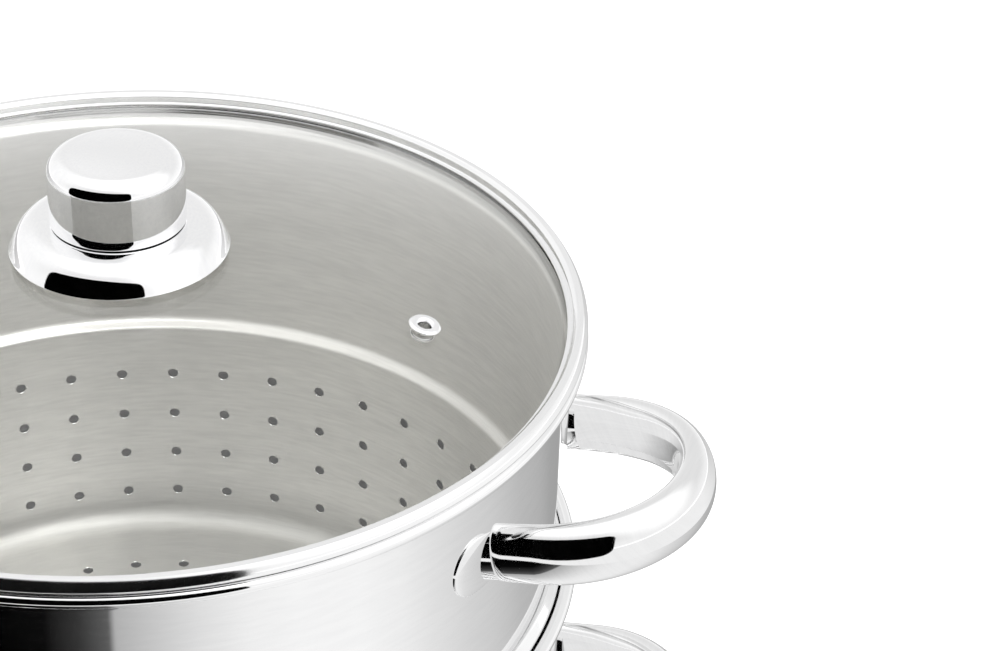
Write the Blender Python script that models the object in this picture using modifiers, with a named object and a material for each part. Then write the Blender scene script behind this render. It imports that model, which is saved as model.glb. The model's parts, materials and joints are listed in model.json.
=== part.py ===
"""Steam juicer: a water pan, a juice kettle, a perforated fruit basket and a domed glass lid.

The three steel vessels stack on one axis. Each has a rolled rim with a flared seat inside it,
and the vessel above hangs in that seat by a bead in its own wall. The kettle carries a steam
cone in its floor and a juice spigot in its wall. Lengths are in metres, +Z is up, the handles
lie along +X and -X, the spigot points along -Y, and the origin is the centre of the base.
"""
from math import atan, cos, pi, radians, sin, sqrt

import bmesh
import bpy
from mathutils import Matrix

# Every fixed joint and every rest between two pieces keeps this gap
CLEAR = 0.0003

# Turned vessels: one facet carries one column of holes, so the steps follow the columns
HOLE_COLUMNS = 44
VESSEL_STEPS = HOLE_COLUMNS
CORNER_STEPS = 2
ROLL_STEPS = 4
LID_ROLL_STEPS = 3

# A cutter that goes right through runs to this many times the thickness that it cuts
OVERCUT = 4.0

# Sheet and radii shared by the three vessels: the seat and the roll of the rim stand out from
# the wall, and the nested lower wall is drawn in from it
SHEET = 0.0008
WALL_R = 0.1274
SEAT_STEP = 0.0026
ROLL_WIDTH = 0.0042
NEST_STEP = 0.0037
SEAT_R = WALL_R + SEAT_STEP
RIM_R = SEAT_R + ROLL_WIDTH
NEST_R = WALL_R - NEST_STEP
SEAT_DEPTH = 0.0045
BEAD_RISE = 0.0030

# Heights of the stack
PAN_HEIGHT = 0.1000
KETTLE_RISE = 0.1350
BASKET_RISE = 0.0803

# Water pan and its sandwich base
PAN_CORNER_R = 0.0120
BASE_HEIGHT = 0.0062
BASE_INSET = 0.0019
BASE_R = WALL_R - PAN_CORNER_R - BASE_INSET
BASE_SHEET = 0.0006

# Juice kettle floor, steam cone
KETTLE_NEST = 0.0160
KETTLE_CORNER_R = 0.0050
CONE_HOLE_R = 0.0400
CONE_FLANGE_R = 0.0480
CONE_FOOT_R = 0.0430
CONE_TOP_R = 0.0230
CONE_HEIGHT = 0.0560
CONE_LIP = 0.0020
CONE_STEPS = 24

# Fruit basket
BASKET_NEST = 0.0832
BASKET_CORNER_R = 0.0100
HOLE_R = 0.0017
HOLE_SIDES = 5
HOLE_ROWS = 4
FIRST_ROW = 0.0203
ROW_PITCH = 0.0164
FLOOR_RINGS = ((0.0956, 36), (0.0706, 18), (0.0456, 12))
FLOOR_TURN = radians(-1.8)

# Handles: a hollow pressed tube bent to a loop, on brackets that sit against the wall
HANDLE_SPREAD = 0.0333
HANDLE_LEG = 0.0078
HANDLE_RISE = radians(8.3)
HANDLE_WIDTH = 0.0130
HANDLE_HEIGHT = 0.0170
HANDLE_SEAM = 0.0045
HANDLE_LIP = 0.0008
HANDLE_LIP_HEIGHT = 0.0023
HANDLE_FOOT_OUTER = 0.0045
HANDLE_FOOT_INNER = 0.0039
CROWN_STEPS = 5
LOOP_STEPS = 8
BRACKET_STAND = 0.0023
BRACKET_FACE_X = WALL_R + BRACKET_STAND
BRACKET_SPARE = 0.0060
BRACKET_WIDTH = 0.0250
BRACKET_HEIGHT = 0.0215
BRACKET_TAPER = 0.74
BRACKET_SIDES = 10
BASKET_HANDLE_DROP = 0.0271
KETTLE_HANDLE_DROP = 0.0308

# Juice spigot
SPIGOT_RISE = 0.0145
SPIGOT_BORE_R = 0.0040
SPIGOT_R = 0.0056
SPIGOT_REACH = 0.0340
SPIGOT_BARB = 0.0009
SPIGOT_TIP = 0.0080
SPIGOT_COLLAR_R = 0.0110
SPIGOT_COLLAR = 0.0035
SPIGOT_STEPS = 14
GASKET_R = 0.0105
GASKET = 0.0020
NUT_R = 0.0108
NUT = 0.0040
SPIGOT_TAIL = 0.0020

# Lid: domed glass in a steel rim that rests on the basket's rim
LID_RIM_INSET = 0.0002
LID_RIM_R = RIM_R - LID_RIM_INSET
LID_RIM_DROP = 0.0022
LID_RIM_CREST = 0.0022
LID_CREST_OUT = 0.0006
CHANNEL_SHEET = 0.0005
CHANNEL_LIP = 0.0013
CHANNEL_R = SEAT_R - CLEAR
GLASS = 0.0040
GLASS_EDGE_TOP = -0.0018
GLASS_R = CHANNEL_R - CHANNEL_SHEET - CLEAR
GLASS_CROWN = 0.0205
GLASS_HOLE_R = 0.0040
GLASS_SHOULDER_R = 0.0400

# Vent eyelet in the glass
VENT_INSET = 0.0387
VENT_RADIUS = GLASS_R - VENT_INSET
VENT_ANGLE = pi / VESSEL_STEPS
VENT_PAD = 0.0130
VENT_FLANGE_R = 0.0047
VENT_NECK_R = 0.0030
VENT_BORE_R = 0.0022
VENT_FLANGE = 0.0012
VENT_STEPS = 12

# Knob; the skirt's side is a part of a superellipse with these two powers, across and up
SKIRT_R = 0.0312
SKIRT_TOP = 0.0284
SKIRT_LIFT = 0.0013
SKIRT_POWERS = (1.9, 0.65)
SKIRT_STEPS = 5
SKIRT_HOLE_R = 0.0075
CAP_R = 0.0193
CAP_TOP = 0.0499
CAP_ROUND = 0.0045
CAP_SHEET = 0.0008
CORE_BOSS_R = 0.0068
KNOB_STEPS = 24
WASHER_R = 0.0110
WASHER = 0.0012
SCREW_R = 0.0020
SCREW_HEAD_R = 0.0046
SCREW_HEAD = 0.0030
SCREW_HEAD_ANGLES = (0.0, 45.0, 75.0)
SCREW_DEPTH = 0.0360
SCREW_STEPS = 12

# Finishes: colour, metallic, roughness
MIRROR_STEEL = ((0.80, 0.80, 0.80), 1.0, 0.06)
SATIN_STEEL = ((0.70, 0.70, 0.68), 1.0, 0.30)
CHROME = ((0.88, 0.88, 0.88), 1.0, 0.04)
ALUMINIUM = ((0.75, 0.76, 0.77), 1.0, 0.40)
CLEAR_GLASS = ((0.80, 0.85, 0.80), 0.0, 0.03)
SILICONE = ((0.85, 0.85, 0.83), 0.0, 0.50)
BAKELITE = ((0.03, 0.03, 0.03), 0.0, 0.40)

# A seat slopes at 45 degrees, so a gap or sheet square to it is this much longer along Z
SLANT = sqrt(2.0)


def clear_scene():
    """Remove what the scene holds, and the data that it used."""
    for item in list(bpy.data.objects):
        bpy.data.objects.remove(item, do_unlink=True)
    for group in list(bpy.data.collections):
        bpy.data.collections.remove(group)


def add_collection(name):
    """A new collection in the scene."""
    group = bpy.data.collections.new(name)
    bpy.context.scene.collection.children.link(group)
    return group


def add_body(name, height):
    """An empty on the common axis, which carries the pieces of one moving body."""
    empty = bpy.data.objects.new(name, None)
    empty.location = (0.0, 0.0, height)
    PARTS.objects.link(empty)
    return empty


def finish(item, look):
    """Give a piece its own Principled material."""
    colour, metallic, roughness = look
    material = bpy.data.materials.new(item.name + "_finish")
    material.use_nodes = True
    shader = material.node_tree.nodes["Principled BSDF"]
    shader.inputs["Base Color"].default_value = (*colour, 1.0)
    shader.inputs["Metallic"].default_value = metallic
    shader.inputs["Roughness"].default_value = roughness
    item.data.materials.append(material)


def arc(centre, radius, start, end, steps):
    """Points (r, z) on an arc between two angles in degrees, both ends included."""
    points = []
    for step in range(steps + 1):
        angle = radians(start + (end - start) * step / steps)
        points.append((centre[0] + radius * cos(angle), centre[1] + radius * sin(angle)))
    return points


def turned(name, profile, steps, body, look, closed=False):
    """A solid of revolution about Z from (r, z) points that run down its outer side."""
    mesh = bpy.data.meshes.new(name)
    points = [(r, 0.0, z) for r, z in profile]
    edges = [(i, i + 1) for i in range(len(points) - 1)]
    if closed:
        edges.append((len(points) - 1, 0))
    mesh.from_pydata(points, edges, [])
    piece = bpy.data.objects.new(name, mesh)
    PARTS.objects.link(piece)
    piece.parent = body
    screw = piece.modifiers.new("turn", "SCREW")
    screw.axis = "Z"
    screw.angle = 2.0 * pi
    screw.steps = steps
    screw.render_steps = steps
    screw.use_merge_vertices = True
    screw.merge_threshold = 0.00001
    screw.use_smooth_shade = True
    finish(piece, look)
    return piece


def cut(piece, cutter):
    """Take the cutter's shape out of the piece."""
    boolean = piece.modifiers.new("cut_" + cutter.name, "BOOLEAN")
    boolean.operation = "DIFFERENCE"
    boolean.solver = "EXACT"
    boolean.object = cutter


def add_cutter(name, mesh, body):
    """A hidden object that only shapes other pieces."""
    cutter = bpy.data.objects.new(name, mesh)
    CUTTERS.objects.link(cutter)
    cutter.parent = body
    cutter.hide_render = True
    cutter.display_type = "WIRE"
    return cutter


def prism(build, radius, length, sides, place):
    """Add a prism or fine cylinder, centred on its own Z axis, to a mesh being built."""
    bmesh.ops.create_cone(
        build, cap_ends=True, segments=sides, radius1=radius, radius2=radius,
        depth=length, matrix=place)


def mesh_of(name, build):
    """Turn a bmesh into a mesh and free it."""
    mesh = bpy.data.meshes.new(name)
    build.to_mesh(mesh)
    build.free()
    return mesh


def rim_profile():
    """The seat, the rolled rim and the wall just under it, from inside to outside."""
    inner_wall = WALL_R - SHEET
    roll = (RIM_R - SEAT_R) / 2.0
    points = [(inner_wall, -SEAT_DEPTH - SEAT_R + inner_wall), (SEAT_R, -SEAT_DEPTH)]
    points += arc((RIM_R - roll, -roll), roll, 180.0, -90.0, ROLL_STEPS)
    outer_drop = SEAT_DEPTH - SHEET + SHEET * SLANT
    points.append((SEAT_R + SHEET, -outer_drop))
    points.append((WALL_R, -outer_drop - SEAT_R - SHEET + WALL_R))
    return points


def bead_profile(rest, offset):
    """The bead that hangs a vessel in the seat below, on a surface that lies inside the outer one.

    rest is the height of the lower rim's top, and offset the depth under the outer surface.
    """
    bead_r = SEAT_R - CLEAR
    slope = SEAT_R + SEAT_DEPTH - (CLEAR + offset) * SLANT
    return [
        (WALL_R - offset, rest + BEAD_RISE),
        (bead_r - offset, rest - CLEAR),
        (bead_r - offset, rest + bead_r - offset - slope),
        (NEST_R - offset, rest + NEST_R - offset - slope),
    ]


def nested_vessel(name, drop, nest, corner_r, floor_r, body, look):
    """A vessel that hangs in the one below: drop is its wall height, nest what goes in below."""
    rest = -drop
    floor = rest - nest
    corner = (NEST_R - corner_r, floor + corner_r)
    inner = arc(corner, corner_r - SHEET, -90.0, 0.0, CORNER_STEPS)
    outer = arc(corner, corner_r, 0.0, -90.0, CORNER_STEPS)
    profile = [(floor_r, floor + SHEET)] + inner
    profile += list(reversed(bead_profile(rest, SHEET)))
    profile += rim_profile()
    profile += bead_profile(rest, 0.0)
    profile += outer
    profile.append((floor_r, floor))
    return turned(name, profile, VESSEL_STEPS, body, look, closed=floor_r > 0.0)


def make_pan(body):
    """The water pan's shell, its rim at the top and its floor on the base sandwich."""
    floor = BASE_HEIGHT - PAN_HEIGHT
    corner = (WALL_R - PAN_CORNER_R, floor + PAN_CORNER_R)
    profile = [(0.0, floor + SHEET)]
    profile += arc(corner, PAN_CORNER_R - SHEET, -90.0, 0.0, CORNER_STEPS)
    profile += rim_profile()
    profile += arc(corner, PAN_CORNER_R, 0.0, -90.0, CORNER_STEPS)
    profile.append((0.0, floor))
    turned("water_pan", profile, VESSEL_STEPS, body, MIRROR_STEEL)


def make_base(body):
    """The aluminium heat disc and the steel cover that wraps it, under the pan's floor."""
    ground = -PAN_HEIGHT
    top = ground + BASE_HEIGHT - CLEAR
    disc_r = BASE_R - BASE_SHEET - CLEAR
    disc = [
        (0.0, top),
        (disc_r, top),
        (disc_r, ground + BASE_SHEET + CLEAR),
        (0.0, ground + BASE_SHEET + CLEAR),
    ]
    turned("heat_disc", disc, VESSEL_STEPS, body, ALUMINIUM)
    foot = BASE_SHEET * 2.0
    cover = [
        (0.0, ground + BASE_SHEET),
        (BASE_R - BASE_SHEET, ground + BASE_SHEET),
        (BASE_R - BASE_SHEET, top),
        (BASE_R, top),
        (BASE_R, ground + foot),
        (BASE_R - foot, ground),
        (0.0, ground),
    ]
    turned("base_cover", cover, VESSEL_STEPS, body, MIRROR_STEEL)


def make_kettle(body):
    """The juice kettle with a hole in its floor for the cone and one in its wall for the spigot."""
    kettle = nested_vessel(
        "juice_kettle", KETTLE_RISE, KETTLE_NEST, KETTLE_CORNER_R, CONE_HOLE_R, body, MIRROR_STEEL)
    build = bmesh.new()
    place = spigot_place() @ Matrix.Translation((0.0, 0.0, -SHEET))
    prism(build, SPIGOT_R + CLEAR, SHEET * OVERCUT, SPIGOT_STEPS, place)
    cut(kettle, add_cutter("spigot_hole_cutter", mesh_of("spigot_hole_cutter", build), body))


def make_cone(body):
    """The open steam cone: a flange on the kettle's floor, a tapered wall and a lip on top."""
    foot = -KETTLE_RISE - KETTLE_NEST + SHEET + CLEAR
    top = foot + CONE_HEIGHT
    profile = [
        (CONE_FOOT_R - SHEET, foot),
        (CONE_TOP_R - SHEET, top - CONE_LIP),
        (CONE_TOP_R - SHEET, top),
        (CONE_TOP_R, top),
        (CONE_TOP_R + CONE_LIP / 2.0, top - CONE_LIP / 2.0),
        (CONE_TOP_R, top - CONE_LIP),
        (CONE_FOOT_R, foot + SHEET),
        (CONE_FLANGE_R, foot + SHEET),
        (CONE_FLANGE_R, foot),
    ]
    turned("steam_cone", profile, CONE_STEPS, body, SATIN_STEEL, closed=True)


def make_basket(body):
    """The fruit basket, with rows of holes round its nested wall and rings of holes in its floor."""
    basket = nested_vessel(
        "fruit_basket", BASKET_RISE, BASKET_NEST, BASKET_CORNER_R, 0.0, body, SATIN_STEEL)
    build = bmesh.new()
    length = SHEET * OVERCUT
    for row in range(HOLE_ROWS):
        height = -BASKET_RISE - FIRST_ROW - row * ROW_PITCH
        for column in range(HOLE_COLUMNS):
            turn = Matrix.Rotation(2.0 * pi * (column + 0.5) / HOLE_COLUMNS, 4, "Z")
            reach = Matrix.Translation((NEST_R - SHEET / 2.0, 0.0, height))
            lay = Matrix.Rotation(pi / 2.0, 4, "Y")
            prism(build, HOLE_R, length, HOLE_SIDES, turn @ reach @ lay)
    floor = -BASKET_RISE - BASKET_NEST + SHEET / 2.0
    for radius, count in FLOOR_RINGS:
        for index in range(count):
            turn = Matrix.Rotation(FLOOR_TURN + 2.0 * pi * index / count, 4, "Z")
            prism(build, HOLE_R, length, HOLE_SIDES, turn @ Matrix.Translation((radius, 0.0, floor)))
    cut(basket, add_cutter("basket_hole_cutter", mesh_of("basket_hole_cutter", build), body))


def handle_section():
    """A closed curve of the pressed tube's section: round above, with a stepped lip inside the loop."""
    half = HANDLE_WIDTH / 2.0
    bottom = -HANDLE_HEIGHT / 2.0
    seam = bottom + HANDLE_SEAM
    crown = HANDLE_HEIGHT / 2.0 - seam
    points = []
    for step in range(CROWN_STEPS + 1):
        angle = pi * step / CROWN_STEPS
        points.append((half * cos(angle), seam + crown * sin(angle)))
    lip_top = seam - HANDLE_LIP
    points += [
        (-HANDLE_FOOT_OUTER, bottom),
        (HANDLE_FOOT_INNER, bottom),
        (half - HANDLE_LIP, lip_top - HANDLE_LIP_HEIGHT),
        (half - HANDLE_LIP, lip_top),
    ]
    curve = bpy.data.curves.new("handle_section", "CURVE")
    curve.dimensions = "2D"
    spline = curve.splines.new("POLY")
    spline.points.add(len(points) - 1)
    for point, (across, up) in zip(spline.points, reversed(points)):
        point.co = (across, up, 0.0, 1.0)
    spline.use_cyclic_u = True
    section = bpy.data.objects.new("handle_section", curve)
    CUTTERS.objects.link(section)
    section.hide_render = True
    return section


def handle_route():
    """Points (x, y) along the tube's axis, from one bracket round a half circle to the other."""
    route = [(CLEAR, HANDLE_SPREAD)]
    for step in range(LOOP_STEPS + 1):
        angle = pi / 2.0 - pi * step / LOOP_STEPS
        route.append((HANDLE_LEG + HANDLE_SPREAD * cos(angle), HANDLE_SPREAD * sin(angle)))
    route.append((CLEAR, -HANDLE_SPREAD))
    return route


def handle_place(drop, turn):
    """The handle's plane: it starts at the brackets' faces, and rises outwards from there."""
    reach = Matrix.Translation((BRACKET_FACE_X, 0.0, -drop))
    return Matrix.Rotation(turn, 4, "Z") @ reach @ Matrix.Rotation(-HANDLE_RISE, 4, "Y")


def settle(piece, place):
    """Put a piece where a matrix says, by its location and rotation."""
    piece.location = place.to_translation()
    piece.rotation_euler = place.to_euler()


def make_handle(name, section, drop, turn, body):
    """One handle loop, on the side that turn gives."""
    curve = bpy.data.curves.new(name, "CURVE")
    curve.dimensions = "3D"
    curve.twist_mode = "Z_UP"
    curve.bevel_mode = "OBJECT"
    curve.bevel_object = section
    curve.use_fill_caps = True
    route = handle_route()
    spline = curve.splines.new("POLY")
    spline.points.add(len(route) - 1)
    for point, (x, y) in zip(spline.points, route):
        point.co = (x, y, 0.0, 1.0)
    handle = bpy.data.objects.new(name, curve)
    PARTS.objects.link(handle)
    handle.parent = body
    settle(handle, handle_place(drop, turn))
    finish(handle, MIRROR_STEEL)


def make_bracket(name, side, wall_cutter, drop, turn, body):
    """The oval bracket between the wall and one leg, its back cut to the wall's round."""
    far_y = HANDLE_SPREAD + BRACKET_WIDTH / 2.0
    depth = BRACKET_FACE_X - sqrt(WALL_R ** 2 - far_y ** 2) + BRACKET_SPARE
    build = bmesh.new()
    place = Matrix.Translation((-depth / 2.0, side * HANDLE_SPREAD, 0.0))
    lay = Matrix.Rotation(pi / 2.0, 4, "Y")
    oval = Matrix.Diagonal((BRACKET_HEIGHT / 2.0, BRACKET_WIDTH / 2.0, 1.0, 1.0))
    bmesh.ops.create_cone(
        build, cap_ends=True, segments=BRACKET_SIDES, radius1=1.0, radius2=BRACKET_TAPER,
        depth=depth, matrix=place @ lay @ oval)
    bracket = bpy.data.objects.new(name, mesh_of(name, build))
    PARTS.objects.link(bracket)
    bracket.parent = body
    settle(bracket, handle_place(drop, turn))
    cut(bracket, wall_cutter)
    finish(bracket, MIRROR_STEEL)


def make_wall_cutter(name, body):
    """A drum just larger than a vessel's wall, with the wall's own facets."""
    build = bmesh.new()
    height = 2.0 * (KETTLE_HANDLE_DROP + BRACKET_HEIGHT)
    prism(build, WALL_R + CLEAR, height, VESSEL_STEPS, Matrix.Identity(4))
    return add_cutter(name, mesh_of(name, build), body)


def make_handles(vessel, section, drop, body):
    """Two handles and their four brackets on one vessel."""
    wall_cutter = make_wall_cutter(vessel + "_wall_cutter", body)
    for word, turn in (("right", 0.0), ("left", pi)):
        make_handle(vessel + "_handle_" + word, section, drop, turn, body)
        for end, side in (("rear", 1.0), ("front", -1.0)):
            place = side if turn == 0.0 else -side
            name = "_".join((vessel, "bracket", word, end))
            make_bracket(name, place, wall_cutter, drop, turn, body)


def spigot_place():
    """The spigot's axis: out of the wall at -Y, its own +Z outwards and zero at the wall."""
    height = -KETTLE_RISE + SPIGOT_RISE
    return Matrix.Translation((0.0, -WALL_R, height)) @ Matrix.Rotation(pi / 2.0, 4, "X")


def make_spigot(body):
    """The barbed tube with its hex collar outside, the gasket under it and the nut inside."""
    seat = CLEAR + GASKET + CLEAR
    inner_end = -SHEET - CLEAR - NUT - SPIGOT_TAIL
    barb_foot = SPIGOT_REACH - SPIGOT_TIP
    tube = [
        (SPIGOT_BORE_R, inner_end),
        (SPIGOT_BORE_R, SPIGOT_REACH),
        (SPIGOT_R, SPIGOT_REACH),
        (SPIGOT_R + SPIGOT_BARB, barb_foot + SPIGOT_BARB),
        (SPIGOT_R, barb_foot),
        (SPIGOT_R, seat + SPIGOT_COLLAR),
        (SPIGOT_COLLAR_R, seat + SPIGOT_COLLAR),
        (SPIGOT_COLLAR_R, seat),
        (SPIGOT_R, seat),
        (SPIGOT_R, inner_end),
    ]
    settle(turned("spigot", tube, SPIGOT_STEPS, body, CHROME, closed=True), spigot_place())
    ring = [
        (SPIGOT_R + CLEAR, CLEAR),
        (SPIGOT_R + CLEAR, CLEAR + GASKET),
        (GASKET_R, CLEAR + GASKET),
        (GASKET_R, CLEAR),
    ]
    gasket = turned("spigot_gasket", ring, SPIGOT_STEPS, body, SILICONE, closed=True)
    settle(gasket, spigot_place())
    make_nut(body)


def make_nut(body):
    """The hex nut inside the kettle's wall, clear of the wall's curve at its corners."""
    build = bmesh.new()
    sag = WALL_R - SHEET - sqrt((WALL_R - SHEET) ** 2 - NUT_R ** 2)
    middle = -SHEET - CLEAR - 2.0 * sag - NUT / 2.0
    prism(build, NUT_R, NUT, 6, spigot_place() @ Matrix.Translation((0.0, 0.0, middle)))
    nut = bpy.data.objects.new("spigot_nut", mesh_of("spigot_nut", build))
    PARTS.objects.link(nut)
    nut.parent = body
    finish(nut, CHROME)
    bore = bmesh.new()
    prism(bore, SPIGOT_R + CLEAR, NUT * OVERCUT, SPIGOT_STEPS, spigot_place())
    cut(nut, add_cutter("nut_bore_cutter", mesh_of("nut_bore_cutter", bore), body))


def dome_radii():
    """The radii at which the dome's profile bends; it runs straight across the vent's flanges."""
    return [GLASS_HOLE_R, GLASS_SHOULDER_R, *vent_span(), GLASS_R]


def glass_top(radius):
    """Height of the dome's upper surface at a radius, on the straight runs of its profile."""
    radii = dome_radii()
    fall = (GLASS_CROWN - GLASS_EDGE_TOP) / GLASS_R ** 2
    inner = max([r for r in radii[:-1] if r <= radius], default=radii[0])
    outer = radii[radii.index(inner) + 1]
    low, high = GLASS_CROWN - fall * inner ** 2, GLASS_CROWN - fall * outer ** 2
    return low + (high - low) * (radius - inner) / (outer - inner)


def make_glass(body):
    """The tempered glass dome with a hole for the knob's screw and one for the vent."""
    top = [(r, glass_top(r)) for r in dome_radii()]
    bottom = [(r, z - GLASS) for r, z in reversed(top)]
    glass = turned("lid_glass", top + bottom, VESSEL_STEPS, body, CLEAR_GLASS, closed=True)
    build = bmesh.new()
    prism(build, VENT_NECK_R + CLEAR, GLASS * OVERCUT, VENT_STEPS, vent_place())
    cut(glass, add_cutter("vent_hole_cutter", mesh_of("vent_hole_cutter", build), body))


def make_lid_rim(body):
    """The lid's steel rim: a rolled flange on the basket's rim and a channel round the glass."""
    groove_r = CHANNEL_R - CHANNEL_SHEET
    glass_foot = GLASS_EDGE_TOP - GLASS - CLEAR
    lip_r = groove_r - CHANNEL_LIP
    lip_under = glass_top(lip_r) + CLEAR
    roll = LID_RIM_DROP
    profile = [(CHANNEL_R + CLEAR + LID_CREST_OUT, LID_RIM_CREST)]
    profile += arc((LID_RIM_R - roll, 0.0), roll, 60.0, -90.0, LID_ROLL_STEPS)
    profile += [
        (CHANNEL_R, -LID_RIM_DROP),
        (CHANNEL_R, glass_foot - CHANNEL_SHEET),
        (lip_r, glass_foot - CHANNEL_SHEET),
        (lip_r, glass_foot),
        (groove_r, glass_foot),
        (groove_r, lip_under),
        (lip_r, lip_under),
    ]
    turned("lid_rim", profile, VESSEL_STEPS, body, MIRROR_STEEL, closed=True)


def vent_span():
    """The two radii between which the dome runs straight, so that the vent's flanges lie flat."""
    facet_r = VENT_RADIUS / cos(pi / VESSEL_STEPS)
    return facet_r - VENT_PAD, facet_r + VENT_PAD


def vent_place():
    """The vent's axis: square to the dome in the middle of a facet, zero on its upper surface."""
    inner, outer = vent_span()
    height = (glass_top(inner) + glass_top(outer)) / 2.0
    slope = (glass_top(inner) - glass_top(outer)) / (outer - inner)
    turn = Matrix.Rotation(VENT_ANGLE, 4, "Z")
    reach = Matrix.Translation((VENT_RADIUS, 0.0, height))
    return turn @ reach @ Matrix.Rotation(atan(slope), 4, "Y")


def make_vent(body):
    """The steel eyelet that lines the vent hole, with a flange above and below the glass."""
    top = CLEAR + VENT_FLANGE
    foot = -GLASS - CLEAR - VENT_FLANGE
    profile = [
        (VENT_BORE_R, foot),
        (VENT_BORE_R, top - VENT_FLANGE / 2.0),
        (VENT_NECK_R, top),
        (VENT_FLANGE_R - VENT_FLANGE / 2.0, top),
        (VENT_FLANGE_R, CLEAR),
        (VENT_NECK_R, CLEAR),
        (VENT_NECK_R, -GLASS - CLEAR),
        (VENT_FLANGE_R, -GLASS - CLEAR),
        (VENT_FLANGE_R, foot),
    ]
    vent = turned("steam_vent", profile, VENT_STEPS, body, CHROME, closed=True)
    settle(vent, vent_place())


def skirt_side(out_r, edge, top):
    """Points (r, z) down a side of the skirt, from below the cap's wall to the edge."""
    across, up = SKIRT_POWERS
    points = []
    for step in range(SKIRT_STEPS + 1):
        share = sin(pi / 2.0 * step / SKIRT_STEPS)
        points.append((CAP_R + (out_r - CAP_R) * share, edge + (top - edge) * (1.0 - share ** across) ** up))
    return points


def make_knob(body):
    """The knob: domed skirt, core with a boss through the skirt, and the steel cap over the core."""
    edge = glass_top(SKIRT_R) + SKIRT_LIFT
    skirt = [(SKIRT_HOLE_R, SKIRT_TOP - CAP_SHEET), (SKIRT_HOLE_R, SKIRT_TOP)]
    skirt += skirt_side(SKIRT_R, edge, SKIRT_TOP)
    skirt += reversed(skirt_side(SKIRT_R - CAP_SHEET, edge, SKIRT_TOP - CAP_SHEET))
    turned("knob_skirt", skirt, KNOB_STEPS, body, CHROME, closed=True)
    foot = SKIRT_TOP + CLEAR
    inner_r = CAP_R - CAP_SHEET
    round_centre = (CAP_R - CAP_ROUND, CAP_TOP - CAP_ROUND)
    inner = [(inner_r, foot)]
    inner += arc(round_centre, CAP_ROUND - CAP_SHEET, 0.0, 90.0, CORNER_STEPS)
    outer = arc(round_centre, CAP_ROUND, 90.0, 0.0, CORNER_STEPS) + [(CAP_R, foot)]
    cap = [(0.0, CAP_TOP)] + outer + inner + [(0.0, CAP_TOP - CAP_SHEET)]
    turned("knob_cap", cap, KNOB_STEPS, body, CHROME)
    make_core(body, foot, inner_r - CLEAR)


def make_core(body, foot, core_r):
    """The core inside the cap, with a blind hole for the screw."""
    boss_foot = glass_top(GLASS_HOLE_R) + CLEAR + WASHER + CLEAR
    top = CAP_TOP - CAP_SHEET - CLEAR
    hole_r = SCREW_R + CLEAR
    core = [
        (0.0, top),
        (core_r - CAP_ROUND, top),
        (core_r, top - CAP_ROUND),
        (core_r, foot),
        (CORE_BOSS_R, foot),
        (CORE_BOSS_R, boss_foot),
        (hole_r, boss_foot),
        (hole_r, SCREW_DEPTH + CLEAR),
        (0.0, SCREW_DEPTH + CLEAR),
    ]
    turned("knob_core", core, KNOB_STEPS, body, BAKELITE)


def make_knob_fixing(body):
    """The washers above and below the glass, and the screw that draws the knob down."""
    hole_r = SCREW_R + CLEAR
    above = glass_top(GLASS_HOLE_R) + CLEAR
    below = glass_top(WASHER_R) - GLASS - CLEAR
    for name, foot, look in (
            ("knob_washer_upper", above, SILICONE),
            ("knob_washer_lower", below - WASHER, SATIN_STEEL)):
        ring = [
            (hole_r, foot),
            (hole_r, foot + WASHER),
            (WASHER_R, foot + WASHER),
            (WASHER_R, foot),
        ]
        turned(name, ring, SCREW_STEPS, body, look, closed=True)
    seat = below - WASHER - CLEAR
    screw = [(0.0, SCREW_DEPTH), (SCREW_R, SCREW_DEPTH), (SCREW_R, seat)]
    for degrees in SCREW_HEAD_ANGLES:
        angle = radians(degrees)
        screw.append((SCREW_HEAD_R * cos(angle), seat - SCREW_HEAD * sin(angle)))
    screw.append((0.0, screw[-1][1]))
    turned("knob_screw", screw, SCREW_STEPS, body, CHROME)


def main():
    """Build the four bodies from the base up."""
    section = handle_section()
    pan_body = add_body("water_pan_body", PAN_HEIGHT)
    kettle_body = add_body("juice_kettle_body", PAN_HEIGHT + KETTLE_RISE)
    basket_body = add_body("fruit_basket_body", PAN_HEIGHT + KETTLE_RISE + BASKET_RISE)
    lid_height = PAN_HEIGHT + KETTLE_RISE + BASKET_RISE + CLEAR + LID_RIM_DROP
    lid_body = add_body("lid_body", lid_height)

    make_pan(pan_body)
    make_base(pan_body)
    make_handles("water_pan", section, KETTLE_HANDLE_DROP, pan_body)

    make_kettle(kettle_body)
    make_cone(kettle_body)
    make_spigot(kettle_body)
    make_handles("juice_kettle", section, KETTLE_HANDLE_DROP, kettle_body)

    make_basket(basket_body)
    make_handles("fruit_basket", section, BASKET_HANDLE_DROP, basket_body)

    make_glass(lid_body)
    make_lid_rim(lid_body)
    make_vent(lid_body)
    make_knob(lid_body)
    make_knob_fixing(lid_body)


clear_scene()
PARTS = add_collection("steam_juicer")
CUTTERS = add_collection("cutters")
main()
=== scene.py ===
"""Steam juicer: fine forms, finishes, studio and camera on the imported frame.

Every piece is turned or lofted again from the solids' own sizes, with finer steps and with
rounded edges. Lengths are in metres, +Z is up, the handles lie along +X and -X, the spigot
points along -Y, and the origin is the centre of the base.
"""
import json
from math import atan, atan2, copysign, cos, hypot, pi, radians, sin, sqrt, tan

import bmesh
import bpy
from mathutils import Matrix, Vector


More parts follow.
